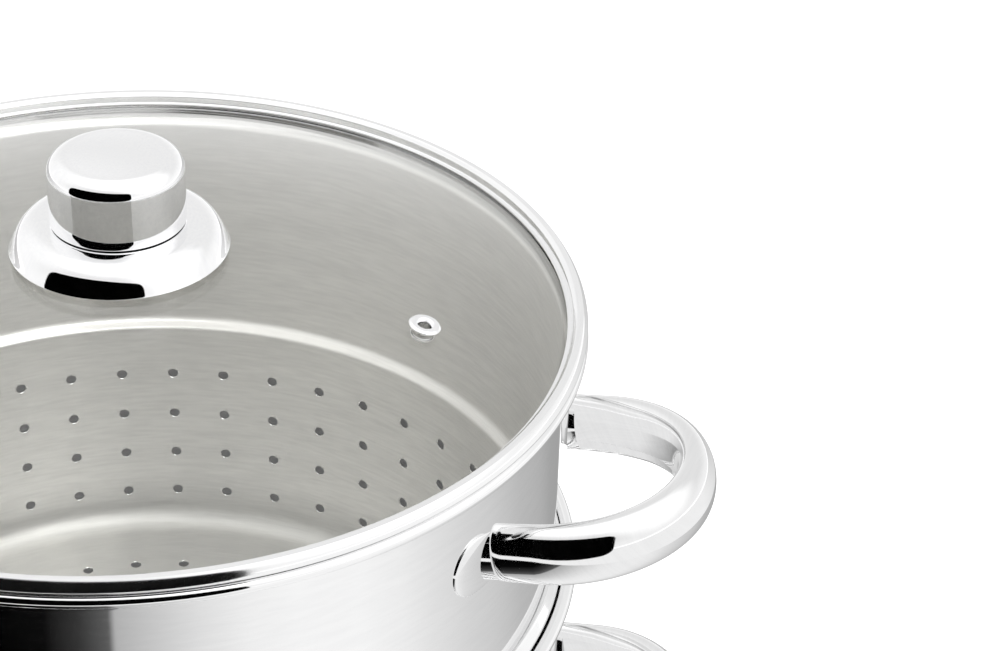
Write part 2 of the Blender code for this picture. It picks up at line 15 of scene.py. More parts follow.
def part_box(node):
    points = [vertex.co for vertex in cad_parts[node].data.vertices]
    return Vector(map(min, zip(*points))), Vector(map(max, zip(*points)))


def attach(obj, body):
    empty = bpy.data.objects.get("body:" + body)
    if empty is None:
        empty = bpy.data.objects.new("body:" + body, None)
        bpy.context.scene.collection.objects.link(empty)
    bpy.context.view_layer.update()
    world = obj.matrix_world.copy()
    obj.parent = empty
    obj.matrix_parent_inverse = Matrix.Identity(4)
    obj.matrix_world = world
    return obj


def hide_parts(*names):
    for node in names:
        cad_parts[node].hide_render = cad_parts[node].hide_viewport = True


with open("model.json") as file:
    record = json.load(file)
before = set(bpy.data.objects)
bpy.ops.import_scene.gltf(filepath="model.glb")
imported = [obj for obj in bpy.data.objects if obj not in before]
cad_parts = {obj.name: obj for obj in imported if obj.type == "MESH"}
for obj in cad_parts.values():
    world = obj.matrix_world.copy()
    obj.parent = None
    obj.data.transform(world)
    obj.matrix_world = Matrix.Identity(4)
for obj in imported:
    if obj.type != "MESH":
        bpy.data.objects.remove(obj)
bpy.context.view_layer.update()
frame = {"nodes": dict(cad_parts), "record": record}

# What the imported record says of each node
BODY_OF = {node: body for body, nodes in frame["record"]["behaviour"]["bodies"].items() for node in nodes}

# Every fixed joint and every rest between two pieces keeps this gap
CLEAR = 0.0003

# Fineness of the meshes: steps round the axis, in a rounded edge, in the rims' roll and in floor corners
TURN_STEPS = 264
SMALL_STEPS = 96
FILLET_STEPS = 5
ROLL_STEPS = 30
CORNER_STEPS = 12
PAN_CORNER_STEPS = 16

# A run longer than LONG_RUN gets a point near either end, and edges sharper than CRISP stay crisp
SUPPORT = 0.0004
LONG_RUN = 5.0 * SUPPORT
CRISP = radians(38.0)

# A corner flatter than STRAIGHT isn't rounded, and a rounding takes at most this share of a side
STRAIGHT = radians(176.0)
FILLET_REACH = 0.45

# A radius below this is a point on the axis
ON_AXIS = 1e-7

# Roundings of edges
FINE_EDGE = 0.0002
CUT_EDGE = 0.0003
SMALL_EDGE = 0.0004
SOFT_EDGE = 0.0006

# Vessels
SHEET = 0.0008
WALL_R = 0.1274
SEAT_R = WALL_R + 0.0026
RIM_R = SEAT_R + 0.0042
NEST_R = WALL_R - 0.0037
SEAT_DEPTH = 0.0045
BEAD_RISE = 0.0030
PRESSED_R = 0.0016
SEAT_TOP_R = 0.0022
LEDGE_DROP = 0.0019
LEDGE_TOP_R = 0.0030
LEDGE_FOOT_R = 0.0016
SLANT = sqrt(2.0)

# Heights of the three rims and of the lid's plane, from the solids
PAN_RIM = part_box("water_pan")[1][2]
KETTLE_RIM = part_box("juice_kettle")[1][2]
BASKET_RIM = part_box("fruit_basket")[1][2]
LID_RIM_DROP = 0.0022
LID_PLANE = BASKET_RIM + CLEAR + LID_RIM_DROP

# Floors
PAN_CORNER_R = 0.0120
BASE_HEIGHT = 0.0062
BASE_R = WALL_R - PAN_CORNER_R - 0.0019
BASE_SHEET = 0.0006
KETTLE_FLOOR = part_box("juice_kettle")[0][2]
KETTLE_CORNER_R = 0.0050
CONE_HOLE_R = 0.0400
BASKET_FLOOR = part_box("fruit_basket")[0][2]
BASKET_CORNER_R = 0.0100

# Steam cone
CONE_FLANGE_R = 0.0480
CONE_FOOT_R = 0.0430
CONE_TOP_R = 0.0230
CONE_HEIGHT = 0.0560
CONE_LIP = 0.0020

# Holes of the basket
HOLE_R = 0.0017
HOLE_FLARE = 0.0001
HOLE_SIDES = 20
HOLE_COLUMNS = 44
HOLE_ROWS = 4
FIRST_ROW = 0.0203
ROW_PITCH = 0.0164
FLOOR_RINGS = ((0.0956, 36), (0.0706, 18), (0.0456, 12))
FLOOR_TURN = radians(-1.8)

# Handles and brackets
HANDLE_SPREAD = 0.0338
HANDLE_LEG = 0.0088
HANDLE_START = -0.0032
HANDLE_RISE = radians(10.4)
HANDLE_WIDTH = 0.0106
HANDLE_HEIGHT = 0.0176
HANDLE_SEAM = 0.0045
HANDLE_LIP = 0.0008
HANDLE_LIP_DROP = 0.0023
HANDLE_FOOT = 0.0036
HANDLE_EDGE_R = 0.0012
HANDLE_QUARTER_STEPS = 16
HANDLE_BOX = 0.62
HANDLE_PINCH = 0.50
HANDLE_PINCH_END = 0.0190
HANDLE_UNDER_X = 0.0008
HANDLE_LOOP_STEPS = 72
# How the tube is drawn in at its ends: (distance from the end, share of the section)
HANDLE_END = ((0.0, 0.90), (0.0002, 0.94), (0.0006, 0.98), (0.0012, 1.0), (0.0030, 1.0), (0.0060, 1.0))
BRACKET_FACE_X = WALL_R + 0.0023
BRACKET_WIDTH = 0.0160
BRACKET_HEIGHT = 0.0182
BRACKET_SHIFT = 0.0056
BRACKET_DROP = 0.0012
BRACKET_NECK = (0.0047, 0.0076)
BRACKET_NECK_END = 0.0020
BRACKET_EDGE = 0.0009
BRACKET_DOME = 0.0012
BRACKET_STEPS = 12
BASKET_HANDLE_DROP = 0.0271
LOWER_HANDLE_DROP = 0.0308

# Spigot
SPIGOT_HEIGHT = 0.1145
SPIGOT_BORE_R = 0.0040
SPIGOT_R = 0.0056
SPIGOT_REACH = 0.0340
SPIGOT_COLLAR_R = 0.0110
SPIGOT_COLLAR = 0.0035
GASKET_R = 0.0105
GASKET = 0.0020
GASKET_EDGE = 0.0007
NUT_R = 0.0108
NUT = 0.0040
SPIGOT_TAIL = 0.0020
SPIGOT_STEP = 0.0016
SPIGOT_FILLET = 0.0010
COLLAR_BORE_R = SPIGOT_R + 0.0012
HEX_CHAMFER = 0.06
BARBS = 3
BARB_PITCH = 0.0030
BARB_RISE = 0.0009
BARB_TAPER = 0.0001
BARBS_END = 0.0115
SPIGOT_PLACE = Matrix.Translation((0.0, -WALL_R, SPIGOT_HEIGHT)) @ Matrix.Rotation(pi / 2.0, 4, "X")

# Lid
LID_RIM_R = RIM_R - 0.0002
LID_RIM_CREST = 0.0022
LID_CREST_R = 0.1307
LID_FACE_R = 0.0054
LID_FACE = (44.0, 7.0)
LID_FACE_END = -0.0010
LID_FACE_STEPS = 14
LID_FACE_FOOT = (0.0001, 0.0004)
LID_FOLD = (0.0004, 0.0011)
LID_UNDERCUT = 0.0012
CHANNEL_SHEET = 0.0005
CHANNEL_LIP = 0.0013
CHANNEL_R = SEAT_R - CLEAR
GLASS = 0.0040
GLASS_EDGE_TOP = -0.0018
GLASS_R = CHANNEL_R - CHANNEL_SHEET - CLEAR
GLASS_CROWN = 0.0205
GLASS_HOLE_R = 0.0040
GLASS_FALL = (GLASS_CROWN - GLASS_EDGE_TOP) / GLASS_R ** 2
DOME_STEPS = 72
VENT_RADIUS = GLASS_R - 0.0387
VENT_ANGLE = pi / HOLE_COLUMNS
VENT_FLANGE_R = 0.0047
VENT_NECK_R = 0.0030
VENT_BORE_R = 0.0018
VENT_FLANGE = 0.0010
VENT_FOOT_R = 0.0036
VENT_ROLL = (0.0007, 0.0008)

# Knob
SKIRT_R = 0.0312
SKIRT_TOP = 0.0284
SKIRT_LIFT = 0.0013
SKIRT_POWERS = (4.4, 1.16)
SKIRT_STEPS = 32
SKIRT_HOLE_R = 0.0075
CAP_R = 0.0193
CAP_TOP = 0.0499
CAP_ROUND = 0.0050
CAP_CROWN = 0.0008
CAP_ROUND_STEPS = 24
CROWN_STEPS = 8
CAP_SHEET = 0.0008
WASHER_R = 0.0110
WASHER = 0.0012
SCREW_R = 0.0020
SCREW_HEAD_R = 0.0046
SCREW_HEAD = 0.0030
SCREW_DEPTH = 0.0360
SCREW_SLOT = (0.0052, 0.0009, 0.0026)

# The camera, fitted to the photograph; the studio and the painted sheen on the satin steel go by its side
# of the pot
CAMERA_PLACE = Vector((0.30162, -0.57142, 0.71104))
CAMERA_AIM = Vector((0.10304, 0.03371, 0.31494))
CAMERA_ROLL = radians(1.9332)
CAMERA_LENS = 93.75
FRONT = atan2(CAMERA_PLACE.y, CAMERA_PLACE.x)


def put(name, data):
    """A new object in the scene."""
    thing = bpy.data.objects.new(name, data)
    bpy.context.scene.collection.objects.link(thing)
    return thing


def mesh_of(name, verts, faces):
    """A mesh of points and faces."""
    mesh = bpy.data.meshes.new(name)
    mesh.from_pydata(verts, [], faces)
    return mesh


def mesh_from(name, build):
    """A mesh of what was built in a bmesh, which is then freed."""
    mesh = bpy.data.meshes.new(name)
    build.to_mesh(mesh)
    build.free()
    return mesh


def whole_turn(steps):
    """Angles at equal steps round a whole turn."""
    return [2.0 * pi * step / steps for step in range(steps)]


def circle(radius, z, steps):
    """Points on a level circle about the Z axis."""
    return [(radius * cos(angle), radius * sin(angle), z) for angle in whole_turn(steps)]


def arc(centre, radius, start, end, steps):
    """Points (r, z) on an arc between two angles in degrees, both ends included."""
    points = []
    for step in range(steps + 1):
        angle = radians(start + (end - start) * step / steps)
        points.append((centre[0] + radius * cos(angle), centre[1] + radius * sin(angle)))
    return points


def fillet(before, point, after, radius):
    """The points that round one corner of an outline."""
    corner = Vector(point)
    back = Vector(before) - corner
    ahead = Vector(after) - corner
    turn = back.angle(ahead, pi)
    if radius <= 0.0 or turn > STRAIGHT:
        return [tuple(corner)]
    reach = min(radius / tan(turn / 2.0), FILLET_REACH * back.length, FILLET_REACH * ahead.length)
    start = corner + back.normalized() * reach
    end = corner + ahead.normalized() * reach
    points = []
    for step in range(FILLET_STEPS + 1):
        share = step / FILLET_STEPS
        points.append(tuple(start.lerp(corner, share).lerp(corner.lerp(end, share), share)))
    return points


def rounded(outline, closed):
    """An outline of (x, y) or (x, y, corner radius) with its corners rounded."""
    flat = [point[:2] for point in outline]
    points = []
    for index, point in enumerate(outline):
        radius = point[2] if len(point) > 2 else 0.0
        if not closed and index in (0, len(outline) - 1):
            radius = 0.0
        following = flat[(index + 1) % len(flat)]
        points += fillet(flat[index - 1], flat[index], following, radius)
    return points


def supported(points, closed):
    """An outline with a point near either end of each long straight run, to keep the shading flat."""
    result = []
    pairs = list(zip(points, points[1:] + points[:1]))
    for (x0, y0), (x1, y1) in pairs if closed else pairs[:-1]:
        length = hypot(x1 - x0, y1 - y0)
        result.append((x0, y0))
        if length > LONG_RUN:
            share = SUPPORT / length
            result.append((x0 + (x1 - x0) * share, y0 + (y1 - y0) * share))
            result.append((x1 + (x0 - x1) * share, y1 + (y0 - y1) * share))
    if not closed:
        result.append(points[-1])
    return result


def new_piece(name, mesh, looks):
    """An object with smooth faces, crisp edges and its materials."""
    mesh.validate()
    for face in mesh.polygons:
        face.use_smooth = True
    mesh.set_sharp_from_angle(angle=CRISP)
    for look in looks:
        mesh.materials.append(look)
    return put(name, mesh)


def stand_for(piece, node):
    """The piece rides on the body of the CAD node that it replaces, and the CAD node is hidden."""
    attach(piece, BODY_OF[node])
    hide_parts(node)


def turned(name, outline, look, closed=False, steps=TURN_STEPS, base=0.0, inner=None):
    """A solid of revolution about Z. Below the seat, what comes before its top takes the inner look."""
    points = supported(rounded(outline, closed), closed)
    top = max(range(len(points)), key=lambda index: points[index][1])
    ring_starts = []
    verts = []
    for r, z in points:
        ring_starts.append(len(verts))
        verts += [(0.0, 0.0, base + z)] if r < ON_AXIS else circle(r, base + z, steps)
    faces = []
    marks = []
    count = len(points)
    for index in range(count if closed else count - 1):
        following = (index + 1) % count
        low, high = ring_starts[index], ring_starts[following]
        middle = (points[index][1] + points[following][1]) / 2.0
        inside = inner is not None and index < top and middle < SEAT_TOP_R / 2.0 - SEAT_DEPTH
        marks += [int(inside)] * steps
        for step in range(steps):
            after = (step + 1) % steps
            if points[index][0] < ON_AXIS:
                faces.append((low, high + step, high + after))
            elif points[following][0] < ON_AXIS:
                faces.append((low + after, low + step, high))
            else:
                faces.append((low + after, low + step, high + step, high + after))
    mesh = mesh_of(name, verts, faces)
    for face, mark in zip(mesh.polygons, marks):
        face.material_index = mark
    return new_piece(name, mesh, [look] if inner is None else [look, inner])


def rim_outline():
    """The seat, the rolled rim and the wall under it, from inside to outside."""
    inner_wall = WALL_R - SHEET
    roll = (RIM_R - SEAT_R) / 2.0
    outline = [
        (inner_wall, -SEAT_DEPTH - SEAT_R + inner_wall, PRESSED_R),
        (SEAT_R, -SEAT_DEPTH, SEAT_TOP_R),
    ]
    outline += arc((RIM_R - roll, -roll), roll, 180.0, -90.0, ROLL_STEPS)
    under = SEAT_DEPTH - SHEET + SHEET * SLANT
    outline.append((SEAT_R + SHEET, -under, PRESSED_R / 4.0))
    outline.append((WALL_R, -under - SEAT_R - SHEET + WALL_R, PRESSED_R))
    return outline


def bead_outline(rest):
    """The bead that hangs a vessel in the seat below, from top to bottom."""
    bead_r = SEAT_R - CLEAR
    slope = SEAT_R + SEAT_DEPTH - CLEAR * SLANT
    return [
        (WALL_R, rest + BEAD_RISE, PRESSED_R),
        (bead_r, rest - CLEAR, PRESSED_R / 2.0),
        (bead_r, rest + bead_r - slope, PRESSED_R / 2.0),
        (NEST_R, rest + NEST_R - slope, PRESSED_R),
    ]


def ledge_outline(rest):
    """The plain ledge inside the bead, where the wall steps in, from bottom to top."""
    return [
        (NEST_R - SHEET, rest - LEDGE_DROP, LEDGE_FOOT_R),
        (WALL_R - SHEET, rest, LEDGE_TOP_R),
    ]


def nested_vessel(name, rim, rest, floor, corner_r, floor_r, outer, inner, guards=()):
    """A vessel that hangs in the one below. Heights are absolute; guards add rings to the outer wall."""
    corner = (NEST_R - corner_r, floor - rim + corner_r)
    inside = [(floor_r, floor - rim + SHEET)]
    inside += arc(corner, corner_r - SHEET, -90.0, 0.0, CORNER_STEPS)
    inside += ledge_outline(rest - rim)
    outline = inside + rim_outline() + [(WALL_R, height - rim) for height in guards]
    outline += bead_outline(rest - rim) + arc(corner, corner_r, 0.0, -90.0, CORNER_STEPS)
    outline.append((floor_r, floor - rim))
    return turned(name, outline, outer, closed=floor_r > 0.0, base=rim, inner=inner)


def cut(piece, name, build):
    """Take what was built out of the piece for good."""
    cutter = put(name, mesh_from(name, build))
    boolean = piece.modifiers.new("cut", "BOOLEAN")
    boolean.operation = "DIFFERENCE"
    boolean.solver = "EXACT"
    boolean.object = cutter
    result = bpy.data.meshes.new_from_object(
        piece.evaluated_get(bpy.context.evaluated_depsgraph_get()))
    piece.modifiers.clear()
    piece.data = result
    bpy.data.objects.remove(cutter)
    result.set_sharp_from_angle(angle=CRISP)


def skin(build, rings):
    """Faces between rings of equally many points, with a flat end on either side."""
    loops = [[build.verts.new(spot) for spot in ring] for ring in rings]
    sides = len(loops[0])
    for low, high in zip(loops, loops[1:]):
        for side in range(sides):
            after = (side + 1) % sides
            build.faces.new((low[side], low[after], high[after], high[side]))
    build.faces.new(list(reversed(loops[0])))
    build.faces.new(loops[-1])


def drum(build, radius, flare, length, sides, place):
    """A cylinder centred on its own Z axis, with ends that flare outwards by the given width."""
    share = flare / length
    stations = ((-0.5, flare), (-0.5 + share, 0.0), (0.5 - share, 0.0), (0.5, flare))
    rings = [circle(radius + wider, along * length, sides) for along, wider in stations]
    skin(build, [[place @ Vector(spot) for spot in ring] for ring in rings])


def make_pan(outer, inner):
    """The water pan's shell."""
    floor = BASE_HEIGHT - PAN_RIM
    corner = (WALL_R - PAN_CORNER_R, floor + PAN_CORNER_R)
    outline = [(0.0, floor + SHEET)]
    outline += arc(corner, PAN_CORNER_R - SHEET, -90.0, 0.0, PAN_CORNER_STEPS)
    outline += rim_outline()
    outline += arc(corner, PAN_CORNER_R, 0.0, -90.0, PAN_CORNER_STEPS)
    outline.append((0.0, floor))
    stand_for(turned("water_pan_shell", outline, outer, base=PAN_RIM, inner=inner), "water_pan")


def make_base(cover_look):
    """The steel cover of the sandwich base; the aluminium disc inside it stays the CAD solid."""
    top = BASE_HEIGHT - CLEAR
    outline = [
        (0.0, BASE_SHEET),
        (BASE_R - BASE_SHEET, BASE_SHEET),
        (BASE_R - BASE_SHEET, top),
        (BASE_R, top, BASE_SHEET / 3.0),
        (BASE_R, 0.0, BASE_SHEET * 2.0),
        (0.0, 0.0),
    ]
    stand_for(turned("base_cover_cup", outline, cover_look), "base_cover")


def make_kettle(outer, inner):
    """The juice kettle, with the spigot's hole in its nested wall."""
    guard = SPIGOT_R * 1.5
    kettle = nested_vessel(
        "juice_kettle_shell", KETTLE_RIM, PAN_RIM, KETTLE_FLOOR, KETTLE_CORNER_R, CONE_HOLE_R,
        outer, inner, guards=(SPIGOT_HEIGHT + guard, SPIGOT_HEIGHT - guard))
    build = bmesh.new()
    drum(build, SPIGOT_R + CLEAR, HOLE_FLARE, SHEET * 12.0, SMALL_STEPS, SPIGOT_PLACE)
    cut(kettle, "spigot_hole", build)
    stand_for(kettle, "juice_kettle")


def make_cone(look):
    """The steam cone on the kettle's floor."""
    foot = SHEET + CLEAR
    top = foot + CONE_HEIGHT
    outline = [
        (CONE_FOOT_R - SHEET, foot, SOFT_EDGE),
        (CONE_TOP_R - SHEET, top - CONE_LIP, CONE_LIP / 2.0),
        (CONE_TOP_R - SHEET, top, SMALL_EDGE),
        (CONE_TOP_R, top, SMALL_EDGE),
        (CONE_TOP_R + CONE_LIP / 2.0, top - CONE_LIP / 2.0, SOFT_EDGE),
        (CONE_TOP_R, top - CONE_LIP, SMALL_EDGE),
        (CONE_FOOT_R, foot + SHEET, PRESSED_R),
        (CONE_FLANGE_R, foot + SHEET, CUT_EDGE),
        (CONE_FLANGE_R, foot),
    ]
    cone = turned("steam_cone_shell", outline, look, closed=True, steps=SMALL_STEPS * 2, base=KETTLE_FLOOR)
    stand_for(cone, "steam_cone")


def make_basket(outer, inner):
    """The fruit basket, with rows of holes round its nested wall and rings of holes in its floor."""
    basket = nested_vessel(
        "fruit_basket_shell", BASKET_RIM, KETTLE_RIM, BASKET_FLOOR, BASKET_CORNER_R, 0.0, outer, inner)
    build = bmesh.new()
    length = SHEET + 2.0 * HOLE_FLARE
    lay = Matrix.Rotation(pi / 2.0, 4, "Y")
    for row in range(HOLE_ROWS):
        height = KETTLE_RIM - FIRST_ROW - row * ROW_PITCH
        for column in range(HOLE_COLUMNS):
            turn = Matrix.Rotation(2.0 * pi * (column + 0.5) / HOLE_COLUMNS, 4, "Z")
            reach = Matrix.Translation((NEST_R - SHEET / 2.0, 0.0, height))
            drum(build, HOLE_R, HOLE_FLARE * 2.0, length, HOLE_SIDES, turn @ reach @ lay)
    for radius, count in FLOOR_RINGS:
        for index in range(count):
            turn = Matrix.Rotation(FLOOR_TURN + 2.0 * pi * index / count, 4, "Z")
            spot = Matrix.Translation((radius, 0.0, BASKET_FLOOR + SHEET / 2.0))
            drum(build, HOLE_R, HOLE_FLARE * 2.0, length, HOLE_SIDES, turn @ spot)
    cut(basket, "basket_holes", build)
    stand_for(basket, "fruit_basket")


def handle_outline():
    """The pressed tube's section as (outwards, up): round outside, with a stepped lip inside the loop."""
    half = HANDLE_WIDTH / 2.0
    top = HANDLE_HEIGHT / 2.0
    bottom = -top
    seam = bottom + HANDLE_SEAM
    quarter = [pi / 2.0 * step / HANDLE_QUARTER_STEPS for step in range(HANDLE_QUARTER_STEPS + 1)]
    outline = [(half * cos(angle), top * sin(angle)) for angle in quarter]
    for angle in quarter[1:]:
        rise = max(cos(angle), 0.0) ** HANDLE_BOX
        outline.append((-half * sin(angle) ** HANDLE_BOX, seam + (top - seam) * rise))
    inner = -half + HANDLE_LIP
    fold = seam - HANDLE_LIP / 2.0
    outline += [
        (-half + HANDLE_LIP * 0.2, fold, HANDLE_LIP / 2.0),
        (inner, fold, HANDLE_LIP / 4.0),
        (inner, seam - HANDLE_LIP - HANDLE_LIP_DROP, HANDLE_EDGE_R),
        (-HANDLE_FOOT, bottom, HANDLE_EDGE_R),
    ]
    for angle in quarter[:-1]:
        outline.append((HANDLE_UNDER_X + (half - HANDLE_UNDER_X) * sin(angle), bottom * cos(angle)))
    return rounded(outline, True)


def handle_stations():
    """(x, y, turn, share of the section) along the tube, which is drawn in a little at its ends."""
    stations = [(HANDLE_START + along, HANDLE_SPREAD, pi / 2.0, share) for along, share in HANDLE_END]
    for step in range(HANDLE_LOOP_STEPS + 1):
        angle = pi / 2.0 - pi * step / HANDLE_LOOP_STEPS
        x = HANDLE_LEG + HANDLE_SPREAD * cos(angle)
        stations.append((x, HANDLE_SPREAD * sin(angle), angle, 1.0))
    for x, y, turn, share in reversed(stations[:len(HANDLE_END)]):
        stations.append((x, -y, -turn, share))
    return stations


def inner_share(x):
    """How much of the section's inner half is left: the tube is pinched in from inside at its ends."""
    way = min(max((x - HANDLE_START) / (HANDLE_PINCH_END - HANDLE_START), 0.0), 1.0)
    return HANDLE_PINCH + (1.0 - HANDLE_PINCH) * way * way * (3.0 - 2.0 * way)


def handle_place(height, turn):
    """The handle's plane: it starts at the brackets' faces and rises outwards from there."""
    reach = Matrix.Translation((BRACKET_FACE_X, 0.0, height))
    return Matrix.Rotation(turn, 4, "Z") @ reach @ Matrix.Rotation(-HANDLE_RISE, 4, "Y")


def loft(name, rings, look):
    """A piece that is a closed skin over rings of points."""
    build = bmesh.new()
    skin(build, rings)
    bmesh.ops.recalc_face_normals(build, faces=build.faces)
    return new_piece(name, mesh_from(name, build), [look])


def make_handle(node, height, turn, look):
    """One handle loop."""
    place = handle_place(height, turn)
    outline = handle_outline()
    rings = []
    for x, y, heading, share in handle_stations():
        out = Vector((cos(heading), sin(heading), 0.0))
        centre = Vector((x, y, 0.0))
        inner = inner_share(x)
        ring = []
        for across, up in outline:
            reach = across if across > 0.0 else across * inner
            ring.append(place @ (centre + out * reach * share + Vector((0.0, 0.0, up * share))))
        rings.append(ring)
    handle = loft(node + "_loop", rings, look)
    handle.visible_glossy = False
    stand_for(handle, node)


def wall_reach(place, spot):
    """How far from a point, along the handle plane's own -X, the vessel's wall lies."""
    start = place @ spot
    way = place.to_3x3() @ Vector((-1.0, 0.0, 0.0))
    flat = way.x ** 2 + way.y ** 2
    half = start.x * way.x + start.y * way.y
    rest = start.x ** 2 + start.y ** 2 - (WALL_R + CLEAR) ** 2
    return (-half - sqrt(half ** 2 - flat * rest)) / flat


def make_bracket(node, side, height, turn, look):
    """One bracket: a domed oval flange that follows the wall, and the neck that goes into the tube."""
    place = handle_place(height, turn)
    neck_y, neck_z = BRACKET_NECK
    wide, tall = BRACKET_WIDTH / 2.0, BRACKET_HEIGHT / 2.0
    # (distance off the wall, half width, half height, shift), from the neck's end to the flange's back
    stations = [(None, neck_y, neck_z, 0.0)]
    for step in range(BRACKET_STEPS + 1):
        lean = pi / 2.0 * step / BRACKET_STEPS
        out = sin(lean)
        stations.append((
            BRACKET_EDGE + BRACKET_DOME * cos(lean),
            neck_y + CUT_EDGE + (wide - neck_y - CUT_EDGE) * out,
            neck_z + CUT_EDGE + (tall - neck_z - CUT_EDGE) * out,
            BRACKET_SHIFT * out,
        ))
    stations.append((BRACKET_EDGE * 0.4, wide, tall, BRACKET_SHIFT))
    stations.append((0.0, wide - CUT_EDGE, tall - CUT_EDGE, BRACKET_SHIFT))
    rings = []
    for off, half_y, half_z, shift in stations:
        ring = []
        for angle in whole_turn(SMALL_STEPS):
            y = side * (HANDLE_SPREAD + shift) + half_y * cos(angle)
            spot = Vector((0.0, y, half_z * sin(angle) - BRACKET_DROP))
            spot.x = HANDLE_START + BRACKET_NECK_END if off is None else off - wall_reach(place, spot)
            ring.append(place @ spot)
        rings.append(ring)
    flange = loft(node + "_flange", rings, look)
    flange.visible_glossy = False
    stand_for(flange, node)


def make_handles(vessel, height, look):
    """Both handles of a vessel and their four brackets, which the steel round them doesn't mirror."""
    for word, turn in (("right", 0.0), ("left", pi)):
        make_handle(vessel + "_handle_" + word, height, turn, look)
        for end, side in (("rear", 1.0), ("front", -1.0)):
            local = side if turn == 0.0 else -side
            node = "_".join((vessel, "bracket", word, end))
            make_bracket(node, local, height, turn, look)


def hex_piece(name, radius, low, high, bore, look):
    """A hexagonal ring along Z, with its corners chamfered at both ends."""
    chamfer = radius * HEX_CHAMFER
    lift = chamfer / 2.0
    rings = []
    for z, drawn in ((low, chamfer), (low + lift, 0.0), (high - lift, 0.0), (high, chamfer)):
        ring = []
        for angle in whole_turn(SMALL_STEPS):
            flat = radius * cos(pi / 6.0) / cos((angle + pi / 6.0) % (pi / 3.0) - pi / 6.0)
            reach = min(flat, radius - drawn)
            ring.append((reach * cos(angle), reach * sin(angle), z))
        rings.append(ring)
    build = bmesh.new()
    skin(build, rings)
    piece = new_piece(name, mesh_from(name, build), [look])
    build = bmesh.new()
    middle = Matrix.Translation((0.0, 0.0, (low + high) / 2.0))
    drum(build, bore, FINE_EDGE, high - low, SMALL_STEPS, middle)
    cut(piece, name + "_bore", build)
    return piece


def make_spigot(look, rubber):
    """The barbed outlet tube with its hexagonal collar, the gasket and the nut inside the wall."""
    seat = CLEAR + GASKET + CLEAR
    tail = -SHEET - CLEAR - NUT - SPIGOT_TAIL
    outline = [
        (SPIGOT_BORE_R, tail, CUT_EDGE),
        (SPIGOT_BORE_R, SPIGOT_REACH, SMALL_EDGE),
        (SPIGOT_R - SMALL_EDGE, SPIGOT_REACH, SOFT_EDGE),
    ]
    for barb in range(BARBS):
        foot = SPIGOT_REACH - BARB_PITCH * (barb + 1)
        outline.append((SPIGOT_R + BARB_RISE - BARB_TAPER * barb, foot + SOFT_EDGE, CUT_EDGE))
        outline.append((SPIGOT_R - BARB_TAPER * 2.0, foot, CUT_EDGE))
    outline += [
        (SPIGOT_R, SPIGOT_REACH - BARBS_END, SOFT_EDGE),
        (SPIGOT_R, seat + SPIGOT_COLLAR + SPIGOT_STEP, SPIGOT_FILLET),
        (SPIGOT_R + SPIGOT_STEP, seat + SPIGOT_COLLAR, SOFT_EDGE),
        (SPIGOT_R + SPIGOT_STEP, seat),
        (SPIGOT_R, seat),
        (SPIGOT_R, tail, CUT_EDGE),
    ]
    tube = turned("spigot_tube", outline, look, closed=True, steps=SMALL_STEPS)
    collar = hex_piece(
        "spigot_collar", SPIGOT_COLLAR_R, seat, seat + SPIGOT_COLLAR, COLLAR_BORE_R, look)
    for piece in (tube, collar):
        piece.data.transform(SPIGOT_PLACE)
        stand_for(piece, "spigot")
    ring = [
        (SPIGOT_R + CLEAR, CLEAR),
        (SPIGOT_R + CLEAR, CLEAR + GASKET, CUT_EDGE),
        (GASKET_R, CLEAR + GASKET, GASKET_EDGE),
        (GASKET_R, CLEAR, GASKET_EDGE),
    ]
    gasket = turned("spigot_gasket_ring", ring, rubber, closed=True, steps=SMALL_STEPS)
    gasket.data.transform(SPIGOT_PLACE)
    stand_for(gasket, "spigot_gasket")
    sag = WALL_R - SHEET - sqrt((WALL_R - SHEET) ** 2 - NUT_R ** 2)
    high = -SHEET - CLEAR - 2.0 * sag
    nut = hex_piece("spigot_hex_nut", NUT_R, high - NUT, high, SPIGOT_R + CLEAR, look)
    nut.data.transform(SPIGOT_PLACE)
    stand_for(nut, "spigot_nut")


def glass_top(radius):
    """Height of the dome's upper surface above the lid's plane."""
    return GLASS_CROWN - GLASS_FALL * radius ** 2


def make_glass(look):
    """The glass dome, with polished round edges and the two holes."""
    top = []
    for step in range(DOME_STEPS + 1):
        radius = GLASS_HOLE_R + (GLASS_R - GLASS_HOLE_R) * step / DOME_STEPS
        edge = SOFT_EDGE if step in (0, DOME_STEPS) else 0.0
        top.append((radius, glass_top(radius), edge))
    bottom = [(r, z - GLASS, edge) for r, z, edge in reversed(top)]
    glass = turned("lid_glass_dome", top + bottom, look, closed=True, base=LID_PLANE)
    build = bmesh.new()
    drum(build, VENT_NECK_R + CLEAR, CUT_EDGE, GLASS * 1.6, SMALL_STEPS, vent_place(-GLASS / 2.0))
    cut(glass, "vent_hole", build)
    stand_for(glass, "lid_glass")


